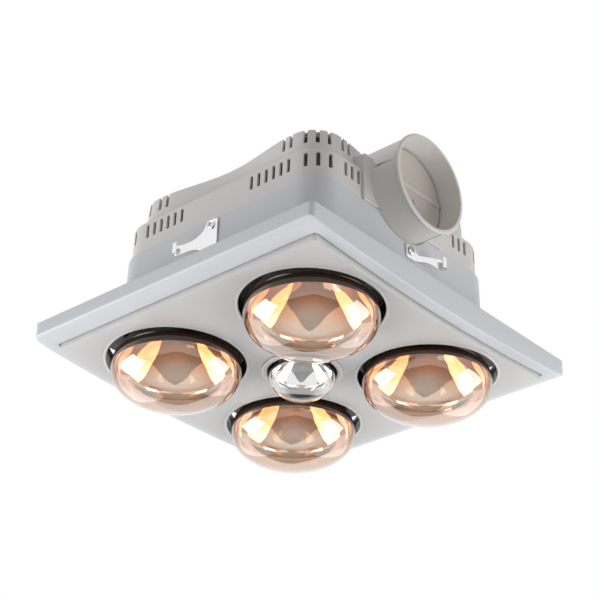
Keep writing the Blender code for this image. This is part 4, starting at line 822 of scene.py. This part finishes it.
@dataclass
class ReflectorLamp:
    """A blown reflector lamp: glass bulb, mirrored bowl, cap, stem and filament."""

    name: str
    body: str
    nodes: dict[str, str]
    centre: tuple[float, float]
    radius: float
    widest: float
    crown: float
    neck: float
    neck_top: float
    glass: Finish
    mirror: Finish
    bowl: Finish | None = None
    shares: tuple[tuple[float, float], ...] = ((0.05, 0.992), (0.115, 0.957), (0.19, 0.885), (0.28, 0.782),
                                               (0.36, 0.676), (0.433, 0.575), (0.52, 0.462), (0.60, 0.366),
                                               (0.68, 0.300), (0.76, 0.266))
    glass_wall: float = 0.0013
    mirror_gap: float = 0.0002
    cap_radius: float = 0.0133
    cap_length: float = 0.0265
    coil_radius: float = 0.011
    coil_drop: float = 0.052

    def smooth(self, points: Outline, parts: int = 3) -> Outline:
        """A rounder run through the points of a profile."""
        found: Outline = []
        for i in range(len(points) - 1):
            before = Vector(points[max(i - 1, 0)])
            start, end = Vector(points[i]), Vector(points[i + 1])
            after = Vector(points[min(i + 2, len(points) - 1)])
            for j in range(parts):
                t = j / parts
                found.append(tuple(0.5 * ((2 * start) + (end - before) * t
                                          + (2 * before - 5 * start + 4 * end - after) * t ** 2
                                          + (3 * start - before - 3 * end + after) * t ** 3)))
        found.append(points[-1])
        return found

    def funnel(self, inset: float) -> Outline:
        """From the neck down to the widest place, drawn in by an inset."""
        wide, narrow = self.radius - inset, self.neck - inset
        rise = self.neck_top - self.widest
        least = self.neck / self.radius
        points = [(narrow, self.neck_top)]
        for height, across in reversed(self.shares):
            points.append((wide * max(across, least), self.widest + rise * height))
        points.append((wide, self.widest))
        return self.smooth(points)

    def dome(self, inset: float) -> Outline:
        """From the widest place down to the crown."""
        wide, deep = self.radius - inset, self.crown - inset
        return [(wide * math.cos(math.pi / 2 * i / 22), self.widest - deep * math.sin(math.pi / 2 * i / 22))
                for i in range(1, 22)] + [(0.0, self.widest - deep)]

    def build_glass(self) -> bpy.types.Object:
        """The blown bulb, open at its neck. A bowl with a finish of its own is a piece above the crown; the heat lamps'
        near-black bowl is painted shade.
        """
        outer, inner = self.funnel(0), self.funnel(self.glass_wall)
        if self.bowl is None:
            shell = outer + self.dome(0) + list(reversed(inner + self.dome(self.glass_wall)))
        else:
            made = lathe(self.name + "_bowl", outer + list(reversed(inner)), self.centre, 112, sharp=60)
            dress(made, self.bowl, self.body)
            shell = [outer[-1]] + self.dome(0) + list(reversed([inner[-1]] + self.dome(self.glass_wall)))
        made = lathe(self.name + "_glass", shell, self.centre, 112, sharp=60)
        return dress(made, self.glass, self.body, self.nodes["bulb"])

    def build_mirror(self) -> bpy.types.Object:
        """The mirrored bowl on the inside of the bulb's funnel."""
        near = self.glass_wall + self.mirror_gap
        skin = 0.0002
        outer = self.funnel(near)[2:]
        inner = self.funnel(near + skin)[2:]
        made = lathe(self.name + "_mirror", outer + list(reversed(inner)), self.centre, 112, sharp=60)
        return dress(made, self.mirror, self.body)

    def build_cap(self) -> bpy.types.Object:
        """Screw cap with a rounded thread, glass button and centre contact."""
        low = self.neck_top + 0.0003
        high = low + self.cap_length
        radius = self.cap_radius
        profile = [(0, high), (0.0045, high), (0.0048, high - 0.0008), (0.0060, high - 0.0016),
                   (radius - 0.003, high - 0.0042)]
        turns = 5
        start, end = high - 0.006, low + 0.0045
        for i in range(turns * 6 + 1):
            share = i / (turns * 6)
            profile.append((radius - 0.0006 + 0.0005 * math.sin(2 * math.pi * turns * share),
                            start + (end - start) * share))
        profile += [(radius, low + 0.003), (radius, low), (0, low)]
        made = lathe(self.name + "_cap", profile, self.centre, 48, around=False)
        return dress(made, BRASS, self.body, self.nodes["cap"])

    def build_stem(self) -> list[bpy.types.Object]:
        """Glass stem with lead wires, supports and a coiled filament."""
        cx, cy = self.centre
        top = self.neck_top
        drop = self.coil_drop
        stem = lathe(self.name + "_stem", [(0, top), (self.neck * 0.7, top), (0.0042, top - 0.010),
                                           (0.0036, top - drop * 0.6), (0.0046, top - drop * 0.66),
                                           (0.0030, top - drop * 0.72), (0, top - drop * 0.73)],
                     self.centre, 32, around=False)
        dress(stem, CLEAR, self.body, self.nodes["stem"])
        level = top - drop
        ring = []
        for i in range(241):
            angle = math.radians(20) + math.radians(320) * i / 240
            coil = 2 * math.pi * i / 4
            radius = self.coil_radius + 0.0009 * math.cos(coil)
            ring.append(Vector((cx + radius * math.cos(angle), cy + radius * math.sin(angle),
                                level + 0.0009 * math.sin(coil))))
        wires = [wire("filament", ring, 0.00022, 2)]
        for i in range(5):
            angle = math.radians(20) + math.radians(320) * i / 4
            out = Vector((cx + self.coil_radius * math.cos(angle), cy + self.coil_radius * math.sin(angle), level))
            wires.append(wire("support", [Vector((cx, cy, top - drop * 0.69)), out], 0.0003, 2))
        wires.append(wire("hub", [Vector((cx, cy, top - drop * 0.6)), Vector((cx, cy, level + 0.002))], 0.0008, 2))
        coil_piece = gather(self.name + "_filament", wires)
        dress(coil_piece, TUNGSTEN, self.body)
        return [stem, coil_piece]

    def build(self) -> None:
        """Build the lamp."""
        self.build_glass()
        self.build_mirror()
        self.build_cap()
        self.build_stem()


def lamp_set() -> list[ReflectorLamp]:
    """The four heat lamps and the centre light."""
    places = ((0.085, -0.085), (0.085, 0.085), (-0.085, 0.085), (-0.085, -0.085))
    lamps = []
    for number, centre in enumerate(places, 1):
        lamps.append(ReflectorLamp(
            "heat_lamp_%d" % number, "heat_lamp_%d" % number,
            {"bulb": "heat_bulb_%d" % number, "cap": "heat_cap_%d" % number, "stem": "heat_stem_%d" % number},
            centre, 0.0625, -0.037, 0.035, 0.016, 0.067, AMBER, MIRROR, SHADED_BOWL))
    lamps.append(ReflectorLamp(
        "centre_light", "centre_lamp", {"bulb": "centre_bulb", "cap": "centre_cap", "stem": "centre_stem"},
        (0.0, 0.0), 0.0317, -0.036, 0.023, 0.015, 0.0175, CLEAR, LIGHT_MIRROR, coil_radius=0.006,
        coil_drop=0.028))
    return lamps


# Housing

@dataclass
class Housing:
    """Three stepped tiers with slotted corner towers, and their lid."""

    flange_half: float = 0.150
    flange_wall: float = 0.0015
    flange_corner: float = 0.012
    wall: float = 0.0023
    tier1: float = 0.1325
    tier1_top: float = 0.078
    tier1_draft: float = 0.0015
    corner: float = 0.031
    ledge: float = 0.008
    ledge_wall: float = 0.002
    tier2_back: float = 0.0020
    tier2_top: float = 0.1134
    tier2_draft: float = 0.0006
    tier2_round: float = 0.0024
    tier3_back: float = 0.0075
    tier3_top: float = 0.143
    tier3_draft: float = 0.0018
    tier3_round: float = 0.0010
    waist: float = 0.0095
    seat: float = 0.0003
    cover_seat: float = 0.003
    slot_width: float = 0.0038
    slot_pitch: float = 0.0092
    duct_y: float = -0.010
    duct_z: float = 0.111
    duct_way: float = 0.0496
    box_half: float = 0.0586
    box_top: float = 0.1306
    clip_hole: float = 0.0028
    body: str = "housing"

    @property
    def top1(self) -> float:
        """Half width at the top of the first tier."""
        return self.tier1 - self.tier1_draft

    @property
    def half2(self) -> float:
        """Half width at the foot of the second tier."""
        return self.top1 - self.tier2_back

    @property
    def half3(self) -> float:
        """Half width at the foot of the third tier."""
        return self.half2 - self.tier2_draft - self.tier3_back

    def square(self, half: float, corner: float, waist: float = 0.0) -> RoundedSquare:
        """A square outline of the housing."""
        return RoundedSquare(half, half, corner, waist)

    def outlet_way(self) -> bpy.types.Object:
        """The round way through the walls for the outlet."""
        start = self.half3 - self.waist - self.wall - self.cover_seat - 0.004
        return bar("way", self.duct_way, Vector((start, self.duct_y, self.duct_z)),
                   Vector((0.165, self.duct_y, self.duct_z)), 96)

    def build_lower(self) -> bpy.types.Object:
        """First tier with its ceiling flange, a rolled edge and an inward ledge."""
        wall, corner, top = self.wall, self.corner, self.top1
        inner = corner - wall
        ledge = top - wall - self.ledge
        roll = 0.0012
        rings = [self.square(self.flange_half - 0.0004, self.flange_corner).ring(-self.flange_wall),
                 self.square(self.flange_half, self.flange_corner).ring(-self.flange_wall / 2),
                 self.square(self.flange_half - 0.0004, self.flange_corner).ring(0.0),
                 self.square(self.tier1 + roll, corner + roll).ring(0.0),
                 self.square(self.tier1, corner).ring(roll),
                 self.square(top + 0.0001, corner).ring(self.tier1_top - roll),
                 self.square(top - 0.0003, corner - 0.0003).ring(self.tier1_top - roll / 3),
                 self.square(top - roll, corner - roll).ring(self.tier1_top),
                 self.square(ledge, inner - self.ledge).ring(self.tier1_top),
                 self.square(ledge, inner - self.ledge).ring(self.tier1_top - self.ledge_wall),
                 self.square(top - wall, inner).ring(self.tier1_top - self.ledge_wall),
                 self.square(self.tier1 - wall, inner).ring(-self.flange_wall)]
        body = loft("tier_one", rings)
        combine(body, self.outlet_way(), "DIFFERENCE")
        tools = []
        for sx, sy in ((1, 1), (1, -1), (-1, 1), (-1, -1)):
            tools.append(bar("stud", 0.0032, Vector((sx * 0.141, sy * 0.141, -0.006)),
                             Vector((sx * 0.141, sy * 0.141, 0.004)), 24))
        for quarter in range(4):
            turn = Matrix.Rotation(quarter * math.pi / 2, 4, "Z")
            height = 0.0532 if quarter == 0 else 0.070
            tools.append(bar("screw", self.clip_hole, turn @ Vector((self.tier1 - 0.008, 0, height)),
                             turn @ Vector((self.tier1 + 0.004, 0, height)), 24))
        combine(body, gather("holes", tools), "DIFFERENCE")
        even_normals(body)
        return dress(body, SHELL, self.body, "lower_case")

    def slot(self, place: Vector, angle: float, low: float, high: float) -> bpy.types.Object:
        """Cutter for one upright slot, a plain block."""
        half = self.slot_width / 2
        cutter = block("slot", (-0.0075, -half, low), (0.004, half, high))
        cutter.data.transform(Matrix.Translation((place.x, place.y, 0)) @ Matrix.Rotation(angle, 4, "Z"))
        return cutter

    def towers(self, half: float, low: float, high: float, first: float, sides: int, corners: int,
               tools: list[bpy.types.Object]) -> None:
        """Slots of the four corner towers, along both faces and round the corner."""
        straight = half - self.corner
        for quarter in range(4):
            turn = Matrix.Rotation(quarter * math.pi / 2, 2)
            base = quarter * math.pi / 2
            for i in range(sides):
                along = first + i * self.slot_pitch
                if along > straight:
                    continue
                for side in (1, -1):
                    if quarter == 0 and along - self.slot_width < self.box_half - 0.0006 + abs(self.duct_y):
                        continue
                    tools.append(self.slot(turn @ Vector((half, side * along)), base, low, high))
            for i in range(corners):
                angle = math.pi / 2 * (i + 1) / (corners + 1)
                place = turn @ Vector((straight + self.corner * math.cos(angle),
                                       straight + self.corner * math.sin(angle)))
                tools.append(self.slot(place, base + angle, low, high))

    def build_upper(self) -> bpy.types.Object:
        """Second and third tier in one moulding, slotted at the corners."""
        corner, wall = self.corner, self.wall
        half2, half3 = self.half2, self.half3
        top2, top3 = half2 - self.tier2_draft, half3 - self.tier3_draft
        low = self.tier1_top + self.seat
        top = self.tier3_top
        seat = top - self.cover_seat
        inner = corner - wall
        bend, bend3 = self.tier2_round, self.tier3_round
        rings = [self.square(half2 - 0.0003, corner).ring(low), self.square(half2, corner).ring(low + 0.0006),
                 self.square(top2, corner).ring(self.tier2_top - bend),
                 self.square(top2 - bend * 0.13, corner - bend * 0.13).ring(self.tier2_top - bend * 0.5),
                 self.square(top2 - bend * 0.5, corner - bend * 0.5).ring(self.tier2_top - bend * 0.13),
                 self.square(top2 - bend, corner - bend).ring(self.tier2_top),
                 self.square(half3 + 0.0012, corner + 0.0012, self.waist).ring(self.tier2_top),
                 self.square(half3, corner, self.waist).ring(self.tier2_top + 0.0012),
                 self.square(top3, corner, self.waist).ring(top - bend3),
                 self.square(top3 - bend3 * 0.3, corner, self.waist).ring(top - bend3 * 0.3),
                 self.square(top3 - bend3, corner, self.waist).ring(top),
                 self.square(top3 - wall, inner, self.waist).ring(top),
                 self.square(top3 - wall, inner, self.waist).ring(seat),
                 self.square(top3 - wall - 0.003, inner, self.waist).ring(seat),
                 self.square(top3 - wall - 0.003, inner, self.waist).ring(seat - 0.0018),
                 self.square(top3 - wall, inner, self.waist).ring(seat - 0.0018),
                 self.square(half3 - wall, inner, self.waist).ring(self.tier2_top - wall),
                 self.square(top2 - wall, inner).ring(self.tier2_top - wall),
                 self.square(half2 - wall, inner).ring(low)]
        body = loft("tiers_two_three", rings)
        combine(body, self.outlet_way(), "DIFFERENCE")
        notch = block("notch", (half3 - self.waist - wall - 0.004, self.duct_y - self.box_half, self.tier1_top),
                      (0.165, self.duct_y + self.box_half, self.box_top))
        combine(body, notch, "DIFFERENCE")
        tools: list[bpy.types.Object] = []
        self.towers(half2, 0.0935, 0.1085, 0.045, 7, 3, tools)
        straight3 = half3 - corner
        self.towers(half3, top - 0.0155, top + 0.004, straight3 - 1.5 * self.slot_pitch, 2, 3, tools)
        tools.append(bar("gland", 0.0093, Vector((-half2 - 0.004, 0, 0.096)),
                         Vector((-half2 + wall + 0.004, 0, 0.096)), 32))
        combine(body, gather("slots", tools), "DIFFERENCE")
        even_normals(body)
        return dress(body, CREAM, self.body, "upper_case")

    def build_cover(self) -> bpy.types.Object:
        """Lid with a drawn dome over the motor, and four screws."""
        edge = self.half3 - self.tier3_draft - self.wall - 0.0006
        low = self.tier3_top - self.cover_seat + self.seat
        high = low + 0.002
        inner = self.corner - self.wall
        plan = self.square(edge, inner, self.waist)
        body = loft("lid", [plan.ring(low), plan.ring(high)], around=False, capped=True)
        centre = (-0.008, 0.020)
        dome = lathe("dome", [(0, 0.160), (0.040, 0.160), (0.0436, 0.1592), (0.0455, 0.1575), (0.0485, 0.1435),
                              (0.0500, low + 0.0012), (0, low + 0.0012)], centre, 96, around=False)
        combine(body, dome, "UNION")
        core = lathe("core", [(0, 0.158), (0.040, 0.158), (0.044, 0.154), (0.048, low - 0.004), (0, low - 0.004)],
                     centre, 96, around=False)
        combine(body, core, "DIFFERENCE")
        combine(body, self.outlet_way(), "DIFFERENCE")
        even_normals(body)
        dress(body, SHELL, self.body, "top_cover")
        heads = []
        for sx, sy in ((1, 1), (1, -1), (-1, 1), (-1, -1)):
            heads.append(lathe("head", [(0, high + 0.0022), (0.0022, high + 0.0020), (0.0036, high + 0.0010),
                                        (0.0038, high), (0, high)], (sx * 0.096, sy * 0.096), 24, around=False))
        heads_piece = gather("lid_screws", heads)
        dress(heads_piece, STEEL, self.body)
        return body

    def build(self) -> None:
        """Build the housing."""
        self.build_lower()
        self.build_upper()
        self.build_cover()


# Outlet

@dataclass
class Outlet:
    """Duct spigot with its root box, and the backdraft flap."""

    radius: float = 0.049
    wall: float = 0.0025
    y: float = -0.010
    z: float = 0.111
    mouth: float = 0.165
    lip: float = 0.0014
    box_half: float = 0.058
    box_top: float = 0.130
    box_wall: float = 0.002
    back: float = 0.104
    face: float = 0.132
    low: float = 0.0786
    flap_x: float = 0.140
    rise: float = 0.005
    body: str = "housing"

    def along(self, radius: float, start: float, end: float, steps: int = 112,
              end_radius: float | None = None) -> bpy.types.Object:
        """A round bar on the outlet's axis."""
        return bar("bar", radius, Vector((start, self.y, self.z)), Vector((end, self.y, self.z)), steps, end_radius)

    def build_collar(self) -> bpy.types.Object:
        """Root box, tube and rolled lip in one moulding."""
        body = block("spigot", (self.back, self.y - self.box_half, self.low),
                     (self.face, self.y + self.box_half, self.box_top))
        soften(body, 0.0016, 3)
        combine(body, self.along(self.radius, self.back, self.mouth), "UNION")
        profile = [(self.radius - 0.0005, 0.0), (self.radius + self.lip * 0.7, 0.0004),
                   (self.radius + self.lip, 0.0011), (self.radius + self.lip, 0.0022),
                   (self.radius + self.lip * 0.5, 0.0029), (self.radius - 0.0002, 0.0032),
                   (self.radius - 0.0008, 0.0030)]
        lip = lathe("lip", profile, steps=112)
        lip.matrix_world = (Matrix.Translation((self.mouth - 0.0032, self.y, self.z))
                            @ Matrix.Rotation(math.pi / 2, 4, "Y"))
        settle(lip)
        combine(body, lip, "UNION")
        combine(body, self.along(self.radius - self.wall, self.back + self.wall, self.mouth + 0.004), "DIFFERENCE")
        room = block("room", (self.back - 0.004, self.y - self.box_half + self.box_wall, self.low + self.box_wall),
                     (self.face - self.box_wall, self.y + self.box_half - self.box_wall,
                      self.box_top - self.box_wall))
        combine(body, room, "DIFFERENCE")
        pivot = self.z + self.rise
        combine(body, bar("pin_way", 0.0019, Vector((self.flap_x, self.y - 0.053, pivot)),
                          Vector((self.flap_x, self.y + 0.053, pivot)), 24), "DIFFERENCE")
        even_normals(body)
        return dress(body, DUCT, self.body, "outlet_collar")

    def build_flap(self) -> bpy.types.Object:
        """Flap disc with softened edges, its pivot barrel, a small knob and a hole for its pin."""
        radius = self.radius - self.wall - 0.0016
        half = 0.0007
        pivot = self.z + self.rise
        disc = self.along(radius, self.flap_x - half, self.flap_x + half, 112)
        soften(disc, 0.0004, 2)
        reach = math.sqrt(radius ** 2 - self.rise ** 2) - 0.0034
        barrel = bar("barrel", 0.0034, Vector((self.flap_x, self.y - reach, pivot)),
                     Vector((self.flap_x, self.y + reach, pivot)), 32)
        combine(disc, barrel, "UNION")
        knob = lathe("knob", [(0, 0.0022), (0.0026, 0.0018), (0.0034, 0), (0, 0)], steps=32, around=False)
        knob.matrix_world = (Matrix.Translation((self.flap_x + half - 0.0002, self.y + 0.006, self.z - 0.009))
                             @ Matrix.Rotation(math.pi / 2, 4, "Y"))
        settle(knob)
        combine(disc, knob, "UNION")
        combine(disc, bar("pin_way", 0.0019, Vector((self.flap_x, self.y - 0.053, pivot)),
                          Vector((self.flap_x, self.y + 0.053, pivot)), 24), "DIFFERENCE")
        disc.name = "flap_blade"
        even_normals(disc)
        return dress(disc, FLAP, "backdraft_flap", "flap")

    def build(self) -> None:
        """Build the outlet."""
        self.build_collar()
        self.build_flap()


# Side clamps

@dataclass
class SideClamp:
    """Spring-steel arm that turns on a screw in the side of the first tier."""

    number: int
    quarter: int
    hand: int
    pivot: float
    face: float = 0.13263
    wall: float = 0.0012
    half_width: float = 0.0075
    foot: float = 0.045
    head: float = 0.0060
    arm: float = 0.0110
    reach: float = 0.0330
    out: float = 0.0090
    curl: float = 0.0032
    hole: float = 0.0028

    def columns(self) -> list[tuple[float, float, float, float]]:
        """Stations of the strip: along the wall, off the wall, low edge and high edge."""
        top = self.pivot + self.head
        half = self.half_width
        found = []
        for i in range(7):
            along = half - 2 * half * i / 6
            round_off = 0.0012 if i in (0, 6) else 0.0
            found.append((along, 0.0, self.foot + round_off, top - round_off - (self.head / 2 if i == 6 else 0)))
        steps = 12
        for i in range(1, steps + 1):
            share = i / steps
            along = -half - (self.reach - half) * share
            out = self.out * share ** 1.5
            bow = self.arm / 3 * math.sin(math.pi * share)
            high = self.foot + self.arm + (self.pivot - self.foot - self.arm) * (1 - share) ** 2
            found.append((along, out, self.foot + bow, high))
        end_along, end_out = found[-1][0], found[-1][1]
        for i in range(1, 13):
            angle = math.pi * 1.25 * i / 12
            found.append((end_along - self.curl * math.sin(angle), end_out + self.curl * (1 - math.cos(angle)),
                          self.foot, self.foot + self.arm))
        return found

    def build_arm(self) -> bpy.types.Object:
        """The bent strip with its curled end."""
        bm = bmesh.new()
        rows = 8
        grid = []
        for along, out, low, high in self.columns():
            grid.append([bm.verts.new((self.face + out, along * self.hand, low + (high - low) * j / rows))
                         for j in range(rows + 1)])
        for first, second in zip(grid, grid[1:]):
            for j in range(rows):
                bm.faces.new((first[j], second[j], second[j + 1], first[j + 1]))
        strip = new_object("clamp_arm_%d" % self.number, bm)
        thick = strip.modifiers.new("thickness", "SOLIDIFY")
        thick.thickness = self.wall
        thick.offset = 0
        settle(strip)
        combine(strip, bar("hole", self.hole, Vector((self.face - 0.004, 0, self.pivot)),
                           Vector((self.face + 0.004, 0, self.pivot)), 32), "DIFFERENCE")
        soften(strip, 0.00025, 2)
        strip.data.transform(Matrix.Rotation(self.quarter * math.pi / 2, 4, "Z"))
        return dress(strip, CHROME, "clip_%d" % self.number, "side_clip_%d" % self.number)

    def build_screw(self) -> bpy.types.Object:
        """Pan-head screw with a cross recess."""
        tip = 0.1325 - 0.0023 - 0.0022
        head = self.face + self.wall / 2 + 0.0003
        screw = lathe("screw", [(0, head + 0.0022), (0.0020, head + 0.0021), (0.0036, head + 0.0016),
                                (0.0045, head + 0.0007), (0.0046, head), (0.0025, head), (0.0025, tip + 0.0008),
                                (0.0018, tip), (0, tip)], steps=40, around=False)
        for angle in (0.0, math.pi / 2):
            cut = block("recess", (-0.0024, -0.0005, head + 0.0010), (0.0024, 0.0005, head + 0.004))
            cut.data.transform(Matrix.Rotation(angle + math.radians(20), 4, "Z"))
            combine(screw, cut, "DIFFERENCE")
        lie = Matrix.Rotation(self.quarter * math.pi / 2, 4, "Z") @ Matrix.Translation((0, 0, self.pivot))
        screw.data.transform(lie @ Matrix.Rotation(math.pi / 2, 4, "Y"))
        screw.name = "clamp_screw_%d" % self.number
        return dress(screw, STEEL, "housing", "clip_screw_%d" % self.number)

    def build(self) -> None:
        """Build the clamp."""
        self.build_arm()
        self.build_screw()


# Inner pieces that keep their CAD shape

INNER_FINISHES: dict[str, Finish] = {
    "heat_shield": ALUMINIUM, "lamp_chassis": STEEL, "scroll_case": ZINC, "scroll_lid": ZINC, "impeller": STEEL,
    "motor_shaft": STEEL, "motor": STEEL, "flap_pin": STEEL, "centre_lamp_bracket": STEEL,
    "centre_lampholder": CERAMIC, "lampholder_1": CERAMIC, "lampholder_2": CERAMIC, "lampholder_3": CERAMIC,
    "lampholder_4": CERAMIC, "terminal_block": CERAMIC, "capacitor": RUBBER, "cable_gland": RUBBER,
}


def dress_inner() -> None:
    """Give the CAD pieces that stay their finishes."""
    for node, finish in INNER_FINISHES.items():
        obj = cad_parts[node]
        obj.data.materials.clear()
        obj.data.materials.append(finish.material())
        LOG.info("%s keeps its shape", node)


# Studio

@dataclass
class Studio:
    """Camera, lights, white surroundings and a pale floor."""

    focal_px: float = 1940.34
    image_px: float = 600.0
    sensor: float = 36.0
    azimuth: float = math.radians(41.52)
    elevation: float = math.radians(29.82)
    roll: float = math.radians(1.29)
    distance: float = 1.8703
    target_px: tuple[float, float] = (302.80, 343.69)
    ambient: float = 0.26
    floor_z: float = -2.4
    floor_half: float = 3.3
    floor_at: tuple[float, float] = (-0.3, 0.3)

    def camera(self) -> None:
        """Place the camera where the photograph was taken from."""
        a, e, w = self.azimuth, self.elevation, self.roll
        ahead = Vector((-math.sin(a) * math.cos(e), math.cos(a) * math.cos(e), math.sin(e)))
        side = Vector((math.cos(a), math.sin(a), 0))
        up = side.cross(ahead)
        right = side * math.cos(w) + up * math.sin(w)
        top = up * math.cos(w) - side * math.sin(w)
        middle = self.image_px / 2
        shift_x = (self.target_px[0] - middle) / self.focal_px * self.distance
        shift_y = (middle - self.target_px[1]) / self.focal_px * self.distance
        place = -(right * shift_x + top * shift_y + ahead * self.distance)
        data = bpy.data.cameras.new("camera")
        data.sensor_width = self.sensor
        data.lens = self.focal_px / self.image_px * self.sensor
        data.clip_start = 0.01
        data.clip_end = 50.0
        made = bpy.data.objects.new("camera", data)
        made.matrix_world = Matrix((
            (right.x, top.x, -ahead.x, place.x), (right.y, top.y, -ahead.y, place.y),
            (right.z, top.z, -ahead.z, place.z), (0, 0, 0, 1)))
        bpy.context.scene.collection.objects.link(made)
        bpy.context.scene.camera = made

    def surroundings(self) -> None:
        """Soft light from all round, and a background that shows as white."""
        world = bpy.data.worlds.new("surroundings")
        bpy.context.scene.world = world
        world.use_nodes = True
        nodes, links = world.node_tree.nodes, world.node_tree.links
        nodes.clear()
        path = nodes.new("ShaderNodeLightPath")
        seen = nodes.new("ShaderNodeMath")
        seen.operation = "MAXIMUM"
        links.new(path.outputs["Is Camera Ray"], seen.inputs[0])
        links.new(path.outputs["Is Glossy Ray"], seen.inputs[1])
        seen_all = nodes.new("ShaderNodeMath")
        seen_all.operation = "MAXIMUM"
        links.new(seen.outputs[0], seen_all.inputs[0])
        links.new(path.outputs["Is Transmission Ray"], seen_all.inputs[1])
        soft = nodes.new("ShaderNodeBackground")
        soft.inputs["Color"].default_value = (1.0, 1.0, 1.0, 1.0)
        soft.inputs["Strength"].default_value = self.ambient
        white = nodes.new("ShaderNodeBackground")
        white.inputs["Color"].default_value = (1.0, 1.0, 1.0, 1.0)
        white.inputs["Strength"].default_value = 1.0
        mix = nodes.new("ShaderNodeMixShader")
        links.new(seen_all.outputs[0], mix.inputs["Fac"])
        links.new(soft.outputs[0], mix.inputs[1])
        links.new(white.outputs[0], mix.inputs[2])
        out = nodes.new("ShaderNodeOutputWorld")
        links.new(mix.outputs[0], out.inputs["Surface"])

    def lamp(self, name: str, place: Vector, size: float, power: float,
             aim: Vector = Vector((0, 0, 0.04))) -> None:
        """A square soft light that faces the heater, or another point."""
        data = bpy.data.lights.new(name, "AREA")
        data.shape = "SQUARE"
        data.size = size
        data.energy = power
        made = bpy.data.objects.new(name, data)
        made.location = place
        made.rotation_euler = (aim - place).to_track_quat("-Z", "Y").to_euler()
        bpy.context.scene.collection.objects.link(made)

    def floor(self) -> None:
        """Pale floor of the room below the ceiling."""
        bm = bmesh.new()
        bmesh.ops.create_grid(bm, x_segments=1, y_segments=1, size=self.floor_half,
                              matrix=Matrix.Translation((*self.floor_at, self.floor_z)))
        made = new_object("floor", bm)
        paint = Finish("pale_floor", (0.86, 0.86, 0.85), 0.9, "", specular=0.2, drift=0.01, scale=2.0, relief=0.0)
        made.data.materials.append(paint.material())

    def build(self) -> None:
        """Set up the studio."""
        self.camera()
        self.surroundings()
        self.lamp("front_left", Vector((-1.22, -0.98, -0.78)), 1.2, 20.5)
        self.lamp("front_right", Vector((1.12, 0.98, -0.84)), 1.2, 15.0)
        self.lamp("back_left", Vector((-1.62, 0.25, -0.74)), 1.2, 3.5)
        self.lamp("back_right", Vector((-0.05, 1.64, -0.74)), 1.2, 3.5)
        self.lamp("side", Vector((2.0, -0.7, 0.25)), 1.0, 4.0)
        self.lamp("top", Vector((-0.5, -0.5, 1.8)), 1.2, 6.0)
        self.lamp("floor_wash", Vector((0, 0, -1.3)), 2.0, 20.0, Vector((0, 0, self.floor_z)))
        self.floor()
        bpy.context.scene.view_settings.view_transform = "Standard"


def main() -> None:
    """Build every sub-assembly and the studio."""
    logging.basicConfig(level=logging.INFO, format="%(message)s")
    Fascia().build()
    for lamp in lamp_set():
        lamp.build()
    Housing().build()
    Outlet().build()
    for number, quarter, hand, pivot in ((1, 3, 1, 0.070), (2, 0, -1, 0.0532), (3, 1, 1, 0.070), (4, 2, -1, 0.070)):
        SideClamp(number, quarter, hand, pivot).build()
    dress_inner()
    Studio().build()


if __name__ == "__main__":
    main()
